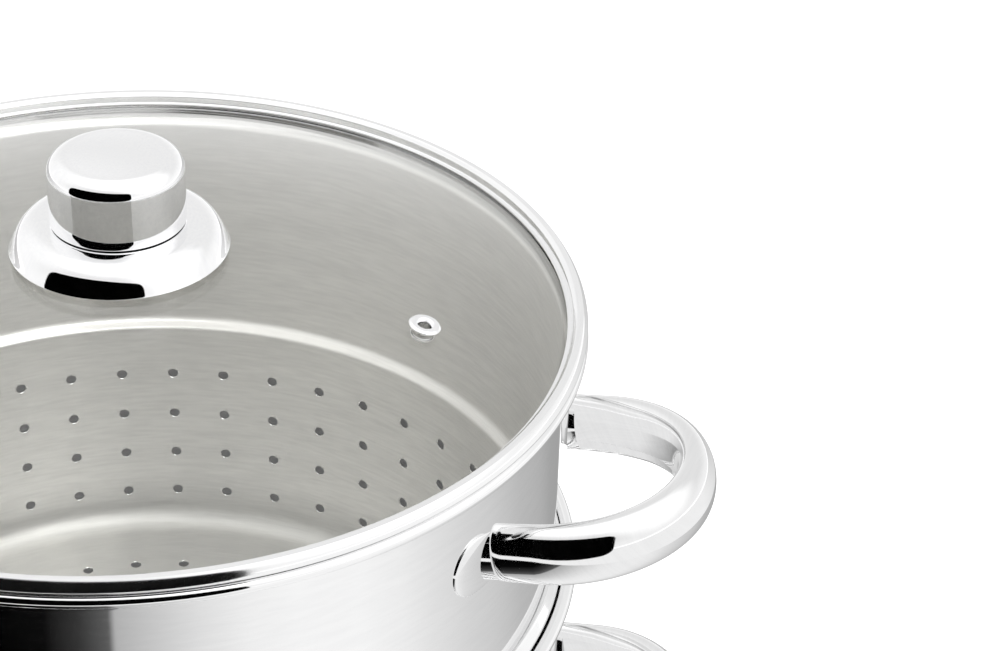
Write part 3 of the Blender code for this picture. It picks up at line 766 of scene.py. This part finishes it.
def make_lid_rim(look):
    """The lid's rolled steel rim, with the channel that holds the glass."""
    groove_r = CHANNEL_R - CHANNEL_SHEET
    glass_foot = GLASS_EDGE_TOP - GLASS - CLEAR
    lip_r = groove_r - CHANNEL_LIP
    lip_under = glass_top(lip_r) + CLEAR
    face_top, face_foot = LID_FACE
    middle = (
        LID_RIM_R - LID_FACE_R * cos(radians(face_foot)),
        LID_FACE_END - LID_FACE_R * sin(radians(face_foot)),
    )
    outline = [
        (groove_r, lip_under + SMALL_EDGE, CUT_EDGE),
        (groove_r + LID_FOLD[0], LID_RIM_CREST - LID_FOLD[1], SMALL_EDGE),
        (LID_CREST_R, LID_RIM_CREST, SOFT_EDGE),
    ]
    outline += arc(middle, LID_FACE_R, face_top, face_foot, LID_FACE_STEPS)
    outline += [
        (LID_RIM_R - LID_FACE_FOOT[0], LID_FACE_END - LID_FACE_FOOT[1], CUT_EDGE),
        (LID_RIM_R - LID_UNDERCUT, -LID_RIM_DROP, CUT_EDGE),
        (CHANNEL_R, -LID_RIM_DROP, CHANNEL_SHEET),
        (CHANNEL_R, glass_foot - CHANNEL_SHEET, SMALL_EDGE),
        (lip_r, glass_foot - CHANNEL_SHEET, FINE_EDGE),
        (lip_r, glass_foot),
        (groove_r, glass_foot),
        (groove_r, lip_under, FINE_EDGE),
        (lip_r, lip_under),
        (lip_r + FINE_EDGE / 2.0, lip_under + SMALL_EDGE, FINE_EDGE),
    ]
    stand_for(turned("lid_rim_ring", outline, look, closed=True, base=LID_PLANE), "lid_rim")


def vent_place(lift):
    """The vent's axis, square to the dome, with zero at the given height over its upper surface."""
    slope = 2.0 * GLASS_FALL * VENT_RADIUS
    turn = Matrix.Rotation(VENT_ANGLE, 4, "Z")
    reach = Matrix.Translation((VENT_RADIUS, 0.0, LID_PLANE + glass_top(VENT_RADIUS)))
    return turn @ reach @ Matrix.Rotation(atan(slope), 4, "Y") @ Matrix.Translation((0.0, 0.0, lift))


def make_vent(look):
    """The steel eyelet, rolled over the glass on both sides."""
    top = CLEAR + VENT_FLANGE
    foot = -GLASS - CLEAR - VENT_FLANGE
    across, down = VENT_ROLL
    outline = [
        (VENT_BORE_R, foot + down, SMALL_EDGE),
        (VENT_BORE_R, top - down, SMALL_EDGE),
        (VENT_BORE_R + across, top, SOFT_EDGE),
        (VENT_FLANGE_R - across, top, SOFT_EDGE),
        (VENT_FLANGE_R, CLEAR + SMALL_EDGE, SMALL_EDGE),
        (VENT_FLANGE_R - FINE_EDGE, CLEAR),
        (VENT_NECK_R, CLEAR),
        (VENT_NECK_R, -GLASS - CLEAR),
        (VENT_FOOT_R, -GLASS - CLEAR, CUT_EDGE),
        (VENT_FOOT_R - CUT_EDGE, foot, CUT_EDGE),
        (VENT_BORE_R + SOFT_EDGE, foot, SOFT_EDGE),
    ]
    vent = turned("steam_vent_eyelet", outline, look, closed=True, steps=SMALL_STEPS)
    vent.data.transform(vent_place(0.0))
    stand_for(vent, "steam_vent")


def skirt_side(out_r, edge, top):
    """The skirt's domed side, flat under the cap and steep at its foot, from its top outwards."""
    across, up = SKIRT_POWERS
    points = []
    for step in range(SKIRT_STEPS + 1):
        share = sin(pi / 2.0 * step / SKIRT_STEPS)
        radius = CAP_R + (out_r - CAP_R) * share
        points.append((radius, edge + (top - edge) * (1.0 - share ** across) ** up))
    return points


def make_knob(look):
    """The domed skirt and the drum cap; the core between them stays the CAD solid."""
    edge = glass_top(SKIRT_R) + SKIRT_LIFT
    outline = [(SKIRT_HOLE_R, SKIRT_TOP - CAP_SHEET), (SKIRT_HOLE_R, SKIRT_TOP, FINE_EDGE)]
    outline += skirt_side(SKIRT_R, edge, SKIRT_TOP)
    outline += reversed(skirt_side(SKIRT_R - CAP_SHEET, edge, SKIRT_TOP - CAP_SHEET))
    skirt = turned("knob_skirt_dome", outline, look, closed=True, base=LID_PLANE)
    stand_for(skirt, "knob_skirt")
    foot = SKIRT_TOP + CLEAR
    inner_r = CAP_R - CAP_SHEET
    centre = (CAP_R - CAP_ROUND, CAP_TOP - CAP_CROWN - CAP_ROUND)
    crown = []
    for step in range(CROWN_STEPS):
        share = step / CROWN_STEPS
        crown.append((centre[0] * share, CAP_TOP - CAP_CROWN * share ** 2))
    outer = arc(centre, CAP_ROUND, 90.0, 0.0, CAP_ROUND_STEPS)
    outer += [(CAP_R, foot + CUT_EDGE, CUT_EDGE), (CAP_R - CUT_EDGE, foot)]
    inner = [(inner_r, foot)] + arc(centre, CAP_ROUND - CAP_SHEET, 0.0, 90.0, CROWN_STEPS)
    cap = crown + outer + inner + [(0.0, CAP_TOP - CAP_SHEET)]
    stand_for(turned("knob_cap_drum", cap, look, base=LID_PLANE), "knob_cap")


def make_knob_fixing(look, rubber, steel):
    """The washers above and below the glass, and the screw with its crossed slot."""
    hole_r = SCREW_R + CLEAR
    above = glass_top(GLASS_HOLE_R) + CLEAR
    below = glass_top(WASHER_R) - GLASS - CLEAR
    for node, name, foot, finish in (
            ("knob_washer_upper", "knob_washer_soft", above, rubber),
            ("knob_washer_lower", "knob_washer_steel", below - WASHER, steel)):
        ring = [
            (hole_r, foot, FINE_EDGE),
            (hole_r, foot + WASHER, FINE_EDGE),
            (WASHER_R, foot + WASHER, CUT_EDGE),
            (WASHER_R, foot, CUT_EDGE),
        ]
        stand_for(turned(name, ring, finish, closed=True, steps=SMALL_STEPS, base=LID_PLANE), node)
    seat = below - WASHER - CLEAR
    outline = [(0.0, SCREW_DEPTH), (SCREW_R, SCREW_DEPTH, CUT_EDGE), (SCREW_R, seat), (SCREW_HEAD_R, seat)]
    for degrees in range(0, 81, 8):
        angle = radians(degrees)
        drop = FINE_EDGE + (SCREW_HEAD - CUT_EDGE) * sin(angle)
        outline.append((SCREW_HEAD_R * cos(angle), seat - drop))
    outline.append((0.0, outline[-1][1]))
    screw = turned("knob_screw_body", outline, look, steps=SMALL_STEPS, base=LID_PLANE)
    bottom = LID_PLANE + outline[-1][1]
    for turn in (0.0, pi / 2.0):
        build = bmesh.new()
        place = Matrix.Translation((0.0, 0.0, bottom)) @ Matrix.Rotation(turn, 4, "Z")
        shape = Matrix.Diagonal((*SCREW_SLOT, 1.0))
        bmesh.ops.create_cube(build, size=1.0, matrix=place @ shape)
        cut(screw, "screw_slot", build)
    stand_for(screw, "knob_screw")


# How much of the radius counts as height, so that marks run round a level floor as well
RADIAL_SHARE = 1.7


class Tree:
    """A node tree being made."""

    def __init__(self, tree):
        self.nodes = tree.nodes
        self.links = tree.links

    def node(self, kind, **numbers):
        """A new shader node, with the given numbers on its sockets."""
        node = self.nodes.new("ShaderNode" + kind)
        for name, value in numbers.items():
            node.inputs[name.replace("_", " ")].default_value = value
        return node

    def math(self, operation, *values):
        """A Math node of numbers and sockets."""
        node = self.node("Math")
        node.operation = operation
        for socket, value in zip(node.inputs, values):
            if isinstance(value, (int, float)):
                socket.default_value = value
            else:
                self.links.new(value, socket)
        return node.outputs[0]

    def parts(self, vector):
        """The x, y and z of a vector."""
        node = self.node("SeparateXYZ")
        self.links.new(vector, node.inputs[0])
        return node.outputs

    def spread(self, value, low, high, start=0.3, end=0.7, curve="LINEAR"):
        """Map the range from start to end, a noise's middle, to the range from low to high."""
        node = self.node("MapRange", From_Min=start, From_Max=end, To_Min=low, To_Max=high)
        node.interpolation_type = curve
        self.links.new(value, node.inputs["Value"])
        return node.outputs["Result"]


class Look(Tree):
    """A material being made, with its Principled shader."""

    def __init__(self, name, colour, metallic, roughness):
        self.material = bpy.data.materials.new(name)
        self.material.use_nodes = True
        super().__init__(self.material.node_tree)
        self.shader = self.nodes["Principled BSDF"]
        self.output = self.nodes["Material Output"]
        self.shader.inputs["Base Color"].default_value = (*colour, 1.0)
        self.shader.inputs["Metallic"].default_value = metallic
        self.shader.inputs["Roughness"].default_value = roughness

    def place(self):
        """Object coordinates, which are the shared frame's metres."""
        return self.node("TexCoord").outputs["Object"]

    def round_place(self, around, along):
        """Coordinates that run round the axis, for marks drawn out along a turned surface."""
        x, y, z = self.parts(self.place())
        square = self.math("ADD", self.math("MULTIPLY", x, x), self.math("MULTIPLY", y, y))
        radius = self.math("SQRT", square)
        join = self.node("CombineXYZ")
        angle = self.math("ARCTAN2", y, x)
        self.links.new(self.math("MULTIPLY", self.math("COSINE", angle), around), join.inputs[0])
        self.links.new(self.math("MULTIPLY", self.math("SINE", angle), around), join.inputs[1])
        run = self.math("MULTIPLY", self.math("ADD", z, self.math("MULTIPLY", radius, RADIAL_SHARE)), along)
        self.links.new(run, join.inputs[2])
        return join.outputs[0]

    def marks(self, around, along, detail, roughness):
        """Marks drawn out round the axis."""
        return self.noise(self.round_place(around, along), 1.0, detail, roughness)

    def noise(self, where, scale, detail=2.0, roughness=0.5):
        """Noise over the given coordinates."""
        node = self.node("TexNoise", Scale=scale, Detail=detail, Roughness=roughness)
        self.links.new(where, node.inputs["Vector"])
        return node.outputs["Fac"]

    def blend(self, value, dark, light):
        """A colour between two tones by a value."""
        node = self.node("Mix")
        node.data_type = "RGBA"
        node.inputs["A"].default_value = (*dark, 1.0)
        node.inputs["B"].default_value = (*light, 1.0)
        self.links.new(value, node.inputs["Factor"])
        return node.outputs["Result"]

    def tint(self, noise, dark, light):
        """Drive the colour between two tones by a noise."""
        colour = self.blend(self.spread(noise, 0.0, 1.0), dark, light)
        self.links.new(colour, self.shader.inputs["Base Color"])

    def rough(self, noise, low, high):
        """Drive the roughness between two values by a noise."""
        self.links.new(self.spread(noise, low, high), self.shader.inputs["Roughness"])

    def bump(self, value, height):
        """Raise the surface by a value, by the given height in metres."""
        node = self.node("Bump", Strength=1.0, Distance=height)
        self.links.new(value, node.inputs["Height"])
        self.links.new(node.outputs["Normal"], self.shader.inputs["Normal"])

    def grain(self, noise, roughness, dark, light, height):
        """One fine noise over gloss, tone and surface."""
        value = self.noise(self.place(), *noise)
        self.rough(value, *roughness)
        self.tint(value, dark, light)
        self.bump(value, height)

    def clear_where(self, factor, shader, colour=(1.0, 1.0, 1.0)):
        """Show a shader where the factor is zero, and see through it where the factor is one."""
        clear = self.node("BsdfTransparent", Color=(*colour, 1.0))
        mix = self.node("MixShader")
        self.links.new(factor, mix.inputs[0])
        self.links.new(shader.outputs[0], mix.inputs[1])
        self.links.new(clear.outputs[0], mix.inputs[2])
        self.links.new(mix.outputs[0], self.output.inputs["Surface"])


def mirror_look(name, wave, haze=1.0, tone=0.92):
    """Polished steel: a faint haze in drawn-out marks, and a slow wave in the sheet."""
    look = Look(name, (tone, tone, tone), 1.0, 0.045)
    marks = look.marks(9.0, 500.0, 4.0, 0.6)
    dark, light = tone - 0.02, tone + 0.02
    look.tint(marks, (dark, dark, dark + 0.003), (light, light, light))
    look.rough(marks, 0.030 * haze, 0.075 * haze)
    look.bump(look.noise(look.place(), 42.0, 1.0), wave)
    return look.material


def ramp_of(look, stations):
    """A grey ramp round the axis through stations of (degrees round from the front, tone)."""
    ramp = look.node("ValToRGB")
    stops = ramp.color_ramp.elements
    while len(stops) < len(stations):
        stops.new(0.5)
    for stop, (angle, tone) in zip(stops, stations):
        stop.position = (angle + 180.0) / 360.0
        stop.color = (tone, tone, tone, 1.0)
    x, y = look.parts(look.place())[:2]
    turn = look.math("ADD", look.math("ARCTAN2", y, x), -FRONT + pi + 2.0 * pi)
    look.links.new(look.math("FRACT", look.math("DIVIDE", turn, 2.0 * pi)), ramp.inputs[0])
    return ramp.outputs[0]


# Painted sheen round the satin steel, lighter and darker bands that stand in for how the studio's light
# falls: (degrees round from the front, tone)
SATIN_PAINTED_SHEEN = (
    (-180.0, 0.86), (-174.0, 0.93), (-165.0, 1.00), (-150.0, 1.00), (-120.0, 0.94), (-60.0, 0.88),
    (0.0, 0.93), (60.0, 0.88), (105.0, 0.85), (120.0, 0.89), (136.0, 0.96), (150.0, 0.99), (160.0, 0.98),
    (171.0, 0.89), (179.0, 0.86),
)
SATIN_TONE = (0.970, 0.960, 0.936)
# A darker tone painted near the floor and on the seat's face as shade
SATIN_PAINTED_SHADE = (0.62, 0.615, 0.595)

# Where the painted shade, a darker tone near the floor and on the seat's face, fades out: heights above the
# floor, the seat's foot and its top
FLOOR_FADE = (0.004, 0.020)
SEAT_FOOT_FADE = (0.0005, 0.0012)
SEAT_TOP_FADE = (-0.0009, -0.0003)


def satin_look(name, floor, rim):
    """Brushed steel: fine marks that run round the vessel, a painted sheen round it, and painted shade that
    darkens its floor and the seat's face.
    """
    look = Look(name, SATIN_TONE, 0.8, 0.40)
    fine = look.marks(12.0, 900.0, 3.0, 0.6)
    broad = look.marks(3.0, 160.0, 3.0, 0.55)
    mixed = look.math("ADD", look.math("MULTIPLY", fine, 0.6), look.math("MULTIPLY", broad, 0.4))
    height = look.parts(look.place())[2]
    floor_from, floor_to = FLOOR_FADE
    over_floor = look.spread(height, 0.0, 1.0, floor + floor_from, floor + floor_to)
    seat_foot = rim - SEAT_DEPTH - SEAT_R + WALL_R - SHEET
    foot_from, foot_to = SEAT_FOOT_FADE
    under_seat = look.spread(height, 1.0, 0.0, seat_foot + foot_from, seat_foot + foot_to)
    seat_top = rim - SEAT_DEPTH
    top_from, top_to = SEAT_TOP_FADE
    over_seat = look.spread(height, 0.0, 1.0, seat_top + top_from, seat_top + top_to)
    bright = look.math("MULTIPLY", over_floor, look.math("MAXIMUM", under_seat, over_seat))
    grain = look.spread(mixed, 0.91, 1.03, 0.38, 0.62)
    # The tone is the painted sheen round the axis times the random grain
    tone = look.math("MULTIPLY", ramp_of(look, SATIN_PAINTED_SHEEN), grain)
    scale = look.node("VectorMath")
    scale.operation = "SCALE"
    # Painted shade: the tone goes to the darker one near the floor and on the seat's face
    look.links.new(look.blend(bright, SATIN_PAINTED_SHADE, SATIN_TONE), scale.inputs[0])
    look.links.new(tone, scale.inputs["Scale"])
    look.links.new(scale.outputs[0], look.shader.inputs["Base Color"])
    look.rough(broad, 0.36, 0.44)
    look.bump(fine, 0.000006)
    return look.material


def chrome_look():
    """Bright drawn steel for the knob, the vent and the spigot."""
    look = Look("bright_chrome", (0.95, 0.95, 0.955), 1.0, 0.03)
    marks = look.marks(14.0, 900.0, 3.0, 0.6)
    look.rough(marks, 0.020, 0.055)
    look.tint(marks, (0.93, 0.93, 0.94), (0.965, 0.965, 0.965))
    look.bump(look.noise(look.place(), 90.0, 2.0), 0.000004)
    return look.material


def disc_look():
    """Rolled aluminium."""
    look = Look("rolled_aluminium", (0.76, 0.77, 0.78), 1.0, 0.38)
    look.grain((900.0, 4.0, 0.6), (0.32, 0.46), (0.70, 0.71, 0.72), (0.80, 0.81, 0.82), 0.00001)
    return look.material


def glass_look():
    """Clear tempered glass with a faint green cast; light passes it on its way to the inside."""
    look = Look("tempered_glass", (0.980, 0.983, 0.970), 0.0, 0.0)
    look.shader.inputs["Transmission Weight"].default_value = 1.0
    look.shader.inputs["IOR"].default_value = 1.5
    slow = look.noise(look.place(), 14.0, 1.0)
    look.tint(slow, (0.977, 0.980, 0.966), (0.984, 0.986, 0.974))
    look.bump(slow, 0.000012)
    shadow = look.node("LightPath").outputs["Is Shadow Ray"]
    look.clear_where(shadow, look.shader, (0.95, 0.955, 0.94))
    return look.material


def rubber_look():
    """Pale silicone rubber."""
    look = Look("pale_silicone", (0.84, 0.84, 0.81), 0.0, 0.5)
    look.shader.inputs["Subsurface Weight"].default_value = 0.05
    look.grain((700.0, 3.0), (0.42, 0.60), (0.80, 0.80, 0.77), (0.87, 0.87, 0.84), 0.00002)
    return look.material


def core_look():
    """Black moulded core."""
    look = Look("black_core", (0.03, 0.03, 0.03), 0.0, 0.4)
    look.grain((500.0, 3.0), (0.34, 0.50), (0.022, 0.022, 0.022), (0.040, 0.040, 0.040), 0.00002)
    return look.material


def repaint(node, material):
    """Give a CAD node that stays a better material."""
    for slot in frame["nodes"][node].material_slots:
        slot.material = material


def make_camera():
    """The camera at the photograph's place."""
    camera = put("camera", bpy.data.cameras.new("camera"))
    camera.location = CAMERA_PLACE
    aim = (CAMERA_AIM - CAMERA_PLACE).to_track_quat("-Z", "Y").to_matrix()
    camera.rotation_euler = (aim @ Matrix.Rotation(CAMERA_ROLL, 3, "Z")).to_euler()
    camera.data.lens = CAMERA_LENS
    camera.data.sensor_width = 36.0
    camera.data.clip_start = 0.05
    bpy.context.scene.camera = camera


def stage_piece(name, verts, faces, material):
    """A stage object."""
    mesh = mesh_of(name, verts, faces)
    mesh.materials.append(material)
    piece = put(name, mesh)
    return piece


def only_reflected(piece):
    """The piece shows in reflections alone, and casts no shadow."""
    for ray in ("camera", "diffuse", "transmission", "shadow", "volume_scatter"):
        setattr(piece, "visible_" + ray, False)


# The floor, and how much it glows where it is seen
FLOOR_REACH = 12.0
FLOOR_STEPS = 64
FLOOR_GLOW = 0.35


def floor_look():
    """A pale floor that shows white and keeps the object's shadow."""
    look = Look("pale_floor", (0.80, 0.80, 0.80), 0.0, 0.9)
    path = look.node("LightPath")
    seen = look.math("MAXIMUM", path.outputs["Is Camera Ray"], path.outputs["Is Glossy Ray"])
    seen = look.math("MAXIMUM", seen, path.outputs["Is Transmission Ray"])
    look.shader.inputs["Emission Color"].default_value = (1.0, 1.0, 1.0, 1.0)
    look.links.new(look.math("MULTIPLY", seen, FLOOR_GLOW), look.shader.inputs["Emission Strength"])
    return look.material


def make_floor():
    """A wide round floor."""
    stage_piece("floor", circle(FLOOR_REACH, 0.0, FLOOR_STEPS), [range(FLOOR_STEPS)], floor_look())


# What polished steel reflects of the floor: (degrees round from the front, brightness), near and far
SURROUND_REACH = (0.125, 0.57, 4.0)
SURROUND_LIFT = 0.001
SURROUND_FAR = (
    (-180.0, 0.66), (-140.0, 0.56), (-112.0, 0.80), (-90.0, 1.0), (100.0, 1.0), (125.0, 0.80),
    (150.0, 0.56), (179.0, 0.66),
)
SURROUND = (
    (-180.0, 0.82), (-115.0, 0.84), (-85.0, 0.45), (-55.0, 0.06), (-34.0, 0.0), (-21.0, 0.003),
    (-13.5, 0.036), (-6.6, 0.115), (-6.2, 0.46), (2.0, 0.60), (13.0, 0.79), (24.0, 0.93),
    (35.0, 0.98), (50.0, 0.98), (62.0, 0.91), (71.0, 0.81), (84.0, 0.70), (93.0, 0.64),
    (107.0, 0.52), (120.0, 0.46), (130.0, 0.385), (143.0, 0.36), (158.0, 0.70), (179.0, 0.82),
)


def emitter(name, colour=(1.0, 1.0, 1.0, 1.0)):
    """A material that glows alone."""
    look = Look(name, (0.0, 0.0, 0.0), 0.0, 1.0)
    look.shader.inputs["Specular IOR Level"].default_value = 0.0
    glow = look.node("Emission", Color=colour)
    look.links.new(glow.outputs[0], look.output.inputs["Surface"])
    return look, glow


def surround_look(name, stations):
    """The tone of the floor in reflections, by the angle round the axis."""
    look, glow = emitter(name)
    look.links.new(ramp_of(look, stations), glow.inputs["Color"])
    return look.material


def make_surround(name, inner_r, outer_r, stations):
    """A ring just over the floor that only reflections see."""
    verts = circle(inner_r, SURROUND_LIFT, SMALL_STEPS) + circle(outer_r, SURROUND_LIFT, SMALL_STEPS)
    faces = []
    for step in range(SMALL_STEPS):
        after = (step + 1) % SMALL_STEPS
        faces.append((step, SMALL_STEPS + step, SMALL_STEPS + after, after))
    only_reflected(stage_piece(name, verts, faces, surround_look(name, stations)))


# The black card in front of the handles: where it stands, its ends, foot and top, and its corners
CARD_Y = -0.60
CARD_X = (-0.78, 0.70)
CARD_Z = (0.09, 0.78)
CARD_CORNER = 0.15
CARD_CORNER_STEPS = 16


def card_look():
    """A black card, seen from its front alone."""
    look, glow = emitter("black_card", (0.0, 0.0, 0.0, 1.0))
    back = look.node("NewGeometry").outputs["Backfacing"]
    look.clear_where(back, glow)
    return look.material


def make_card():
    """The card itself, which only reflections see."""
    (left, right), (foot, top) = CARD_X, CARD_Z
    verts = []
    for x, z, start in ((right, foot, 360), (left, foot, 270), (left, top, 180), (right, top, 90)):
        inwards = copysign(CARD_CORNER, left + right - 2.0 * x)
        upwards = copysign(CARD_CORNER, foot + top - 2.0 * z)
        corner = arc((x + inwards, z + upwards), CARD_CORNER, start, start - 90, CARD_CORNER_STEPS)
        verts += [(across, CARD_Y, up) for across, up in corner]
    only_reflected(stage_piece("front_card", verts, [range(len(verts))], card_look()))


# Soft boxes of the studio: degrees round from the front, degrees up, half width in degrees and gain
SOFT_BOXES = ((-125.0, 48.0, 48.0, 0.16), (62.0, 46.0, 48.0, 0.40), (0.0, 90.0, 48.0, 0.45))

# A soft box is at its full gain within this share of its width
SOFT_BOX_CORE = 0.3

# The studio's level; it is brighter near the horizon, below this share of the way up
STUDIO_LEVEL = 0.88
HORIZON_HEIGHT = 0.45
HORIZON_GAIN = 0.14

# The soft lamp
LAMP_PLACE = Vector((0.9, -0.9, 2.2))
LAMP_AIM = Vector((0.0, 0.0, 0.2))
LAMP_SIZE = 1.6
LAMP_POWER = 18.0


def make_world():
    """A plain bright studio with soft boxes left and right over the front, and one overhead."""
    world = bpy.data.worlds.new("studio")
    bpy.context.scene.world = world
    world.use_nodes = True
    tree = Tree(world.node_tree)
    where = tree.node("TexCoord").outputs["Generated"]
    haze = tree.spread(tree.parts(where)[2], HORIZON_GAIN, 0.0, 0.0, HORIZON_HEIGHT, "SMOOTHSTEP")
    level = tree.math("ADD", haze, STUDIO_LEVEL)
    for azimuth, elevation, wide, gain in SOFT_BOXES:
        a, e = FRONT + radians(azimuth), radians(elevation)
        dot = tree.node("VectorMath")
        dot.operation = "DOT_PRODUCT"
        dot.inputs[1].default_value = (cos(a) * cos(e), sin(a) * cos(e), sin(e))
        tree.links.new(where, dot.inputs[0])
        edge, core = cos(radians(wide)), cos(radians(wide * SOFT_BOX_CORE))
        soft = tree.spread(dot.outputs["Value"], 0.0, gain, edge, core, "SMOOTHSTEP")
        level = tree.math("ADD", level, soft)
    background = tree.nodes["Background"]
    background.inputs["Color"].default_value = (1.0, 1.0, 1.0, 1.0)
    tree.links.new(level, background.inputs["Strength"])


def make_lamp():
    """A soft lamp that points at the object and isn't mirrored."""
    data = bpy.data.lights.new("soft_lamp", "AREA")
    data.size = LAMP_SIZE
    data.energy = LAMP_POWER
    lamp = put("soft_lamp", data)
    lamp.location = LAMP_PLACE
    lamp.rotation_euler = (LAMP_AIM - LAMP_PLACE).to_track_quat("-Z", "Y").to_euler()
    lamp.visible_glossy = False


def main():
    """Dress the frame from the base up, then set the studio."""
    wall = mirror_look("polished_steel_wall", 0.000002)
    # The handles' steel is the wall's polished steel painted darker (tone 0.85 against 0.92), a painted
    # shade
    handle_steel_painted_darker = mirror_look("polished_steel_handles", 0.00007, tone=0.85)
    satin = satin_look("satin_steel_basket", BASKET_FLOOR, BASKET_RIM)
    kettle_satin = satin_look("satin_steel_kettle", KETTLE_FLOOR, KETTLE_RIM)
    pan_satin = satin_look("satin_steel_pan", BASE_HEIGHT, PAN_RIM)
    chrome = chrome_look()
    rubber = rubber_look()

    make_pan(wall, pan_satin)
    make_base(wall)
    repaint("heat_disc", disc_look())
    make_kettle(wall, kettle_satin)
    make_cone(kettle_satin)
    make_spigot(chrome, rubber)
    make_basket(wall, satin)
    make_handles("water_pan", PAN_RIM - LOWER_HANDLE_DROP, handle_steel_painted_darker)
    make_handles("juice_kettle", KETTLE_RIM - LOWER_HANDLE_DROP, handle_steel_painted_darker)
    make_handles("fruit_basket", BASKET_RIM - BASKET_HANDLE_DROP, handle_steel_painted_darker)
    make_glass(glass_look())
    make_lid_rim(mirror_look("polished_steel_rim", 0.000004, haze=2.0))
    make_vent(chrome)
    make_knob(chrome)
    make_knob_fixing(chrome, rubber, satin)
    repaint("knob_core", core_look())

    make_floor()
    near, middle, far = SURROUND_REACH
    make_surround("surround_near", near, middle, SURROUND)
    make_surround("surround_far", middle, far, SURROUND_FAR)
    make_card()
    make_world()
    make_lamp()
    make_camera()
    bpy.context.scene.view_settings.view_transform = "Standard"


main()
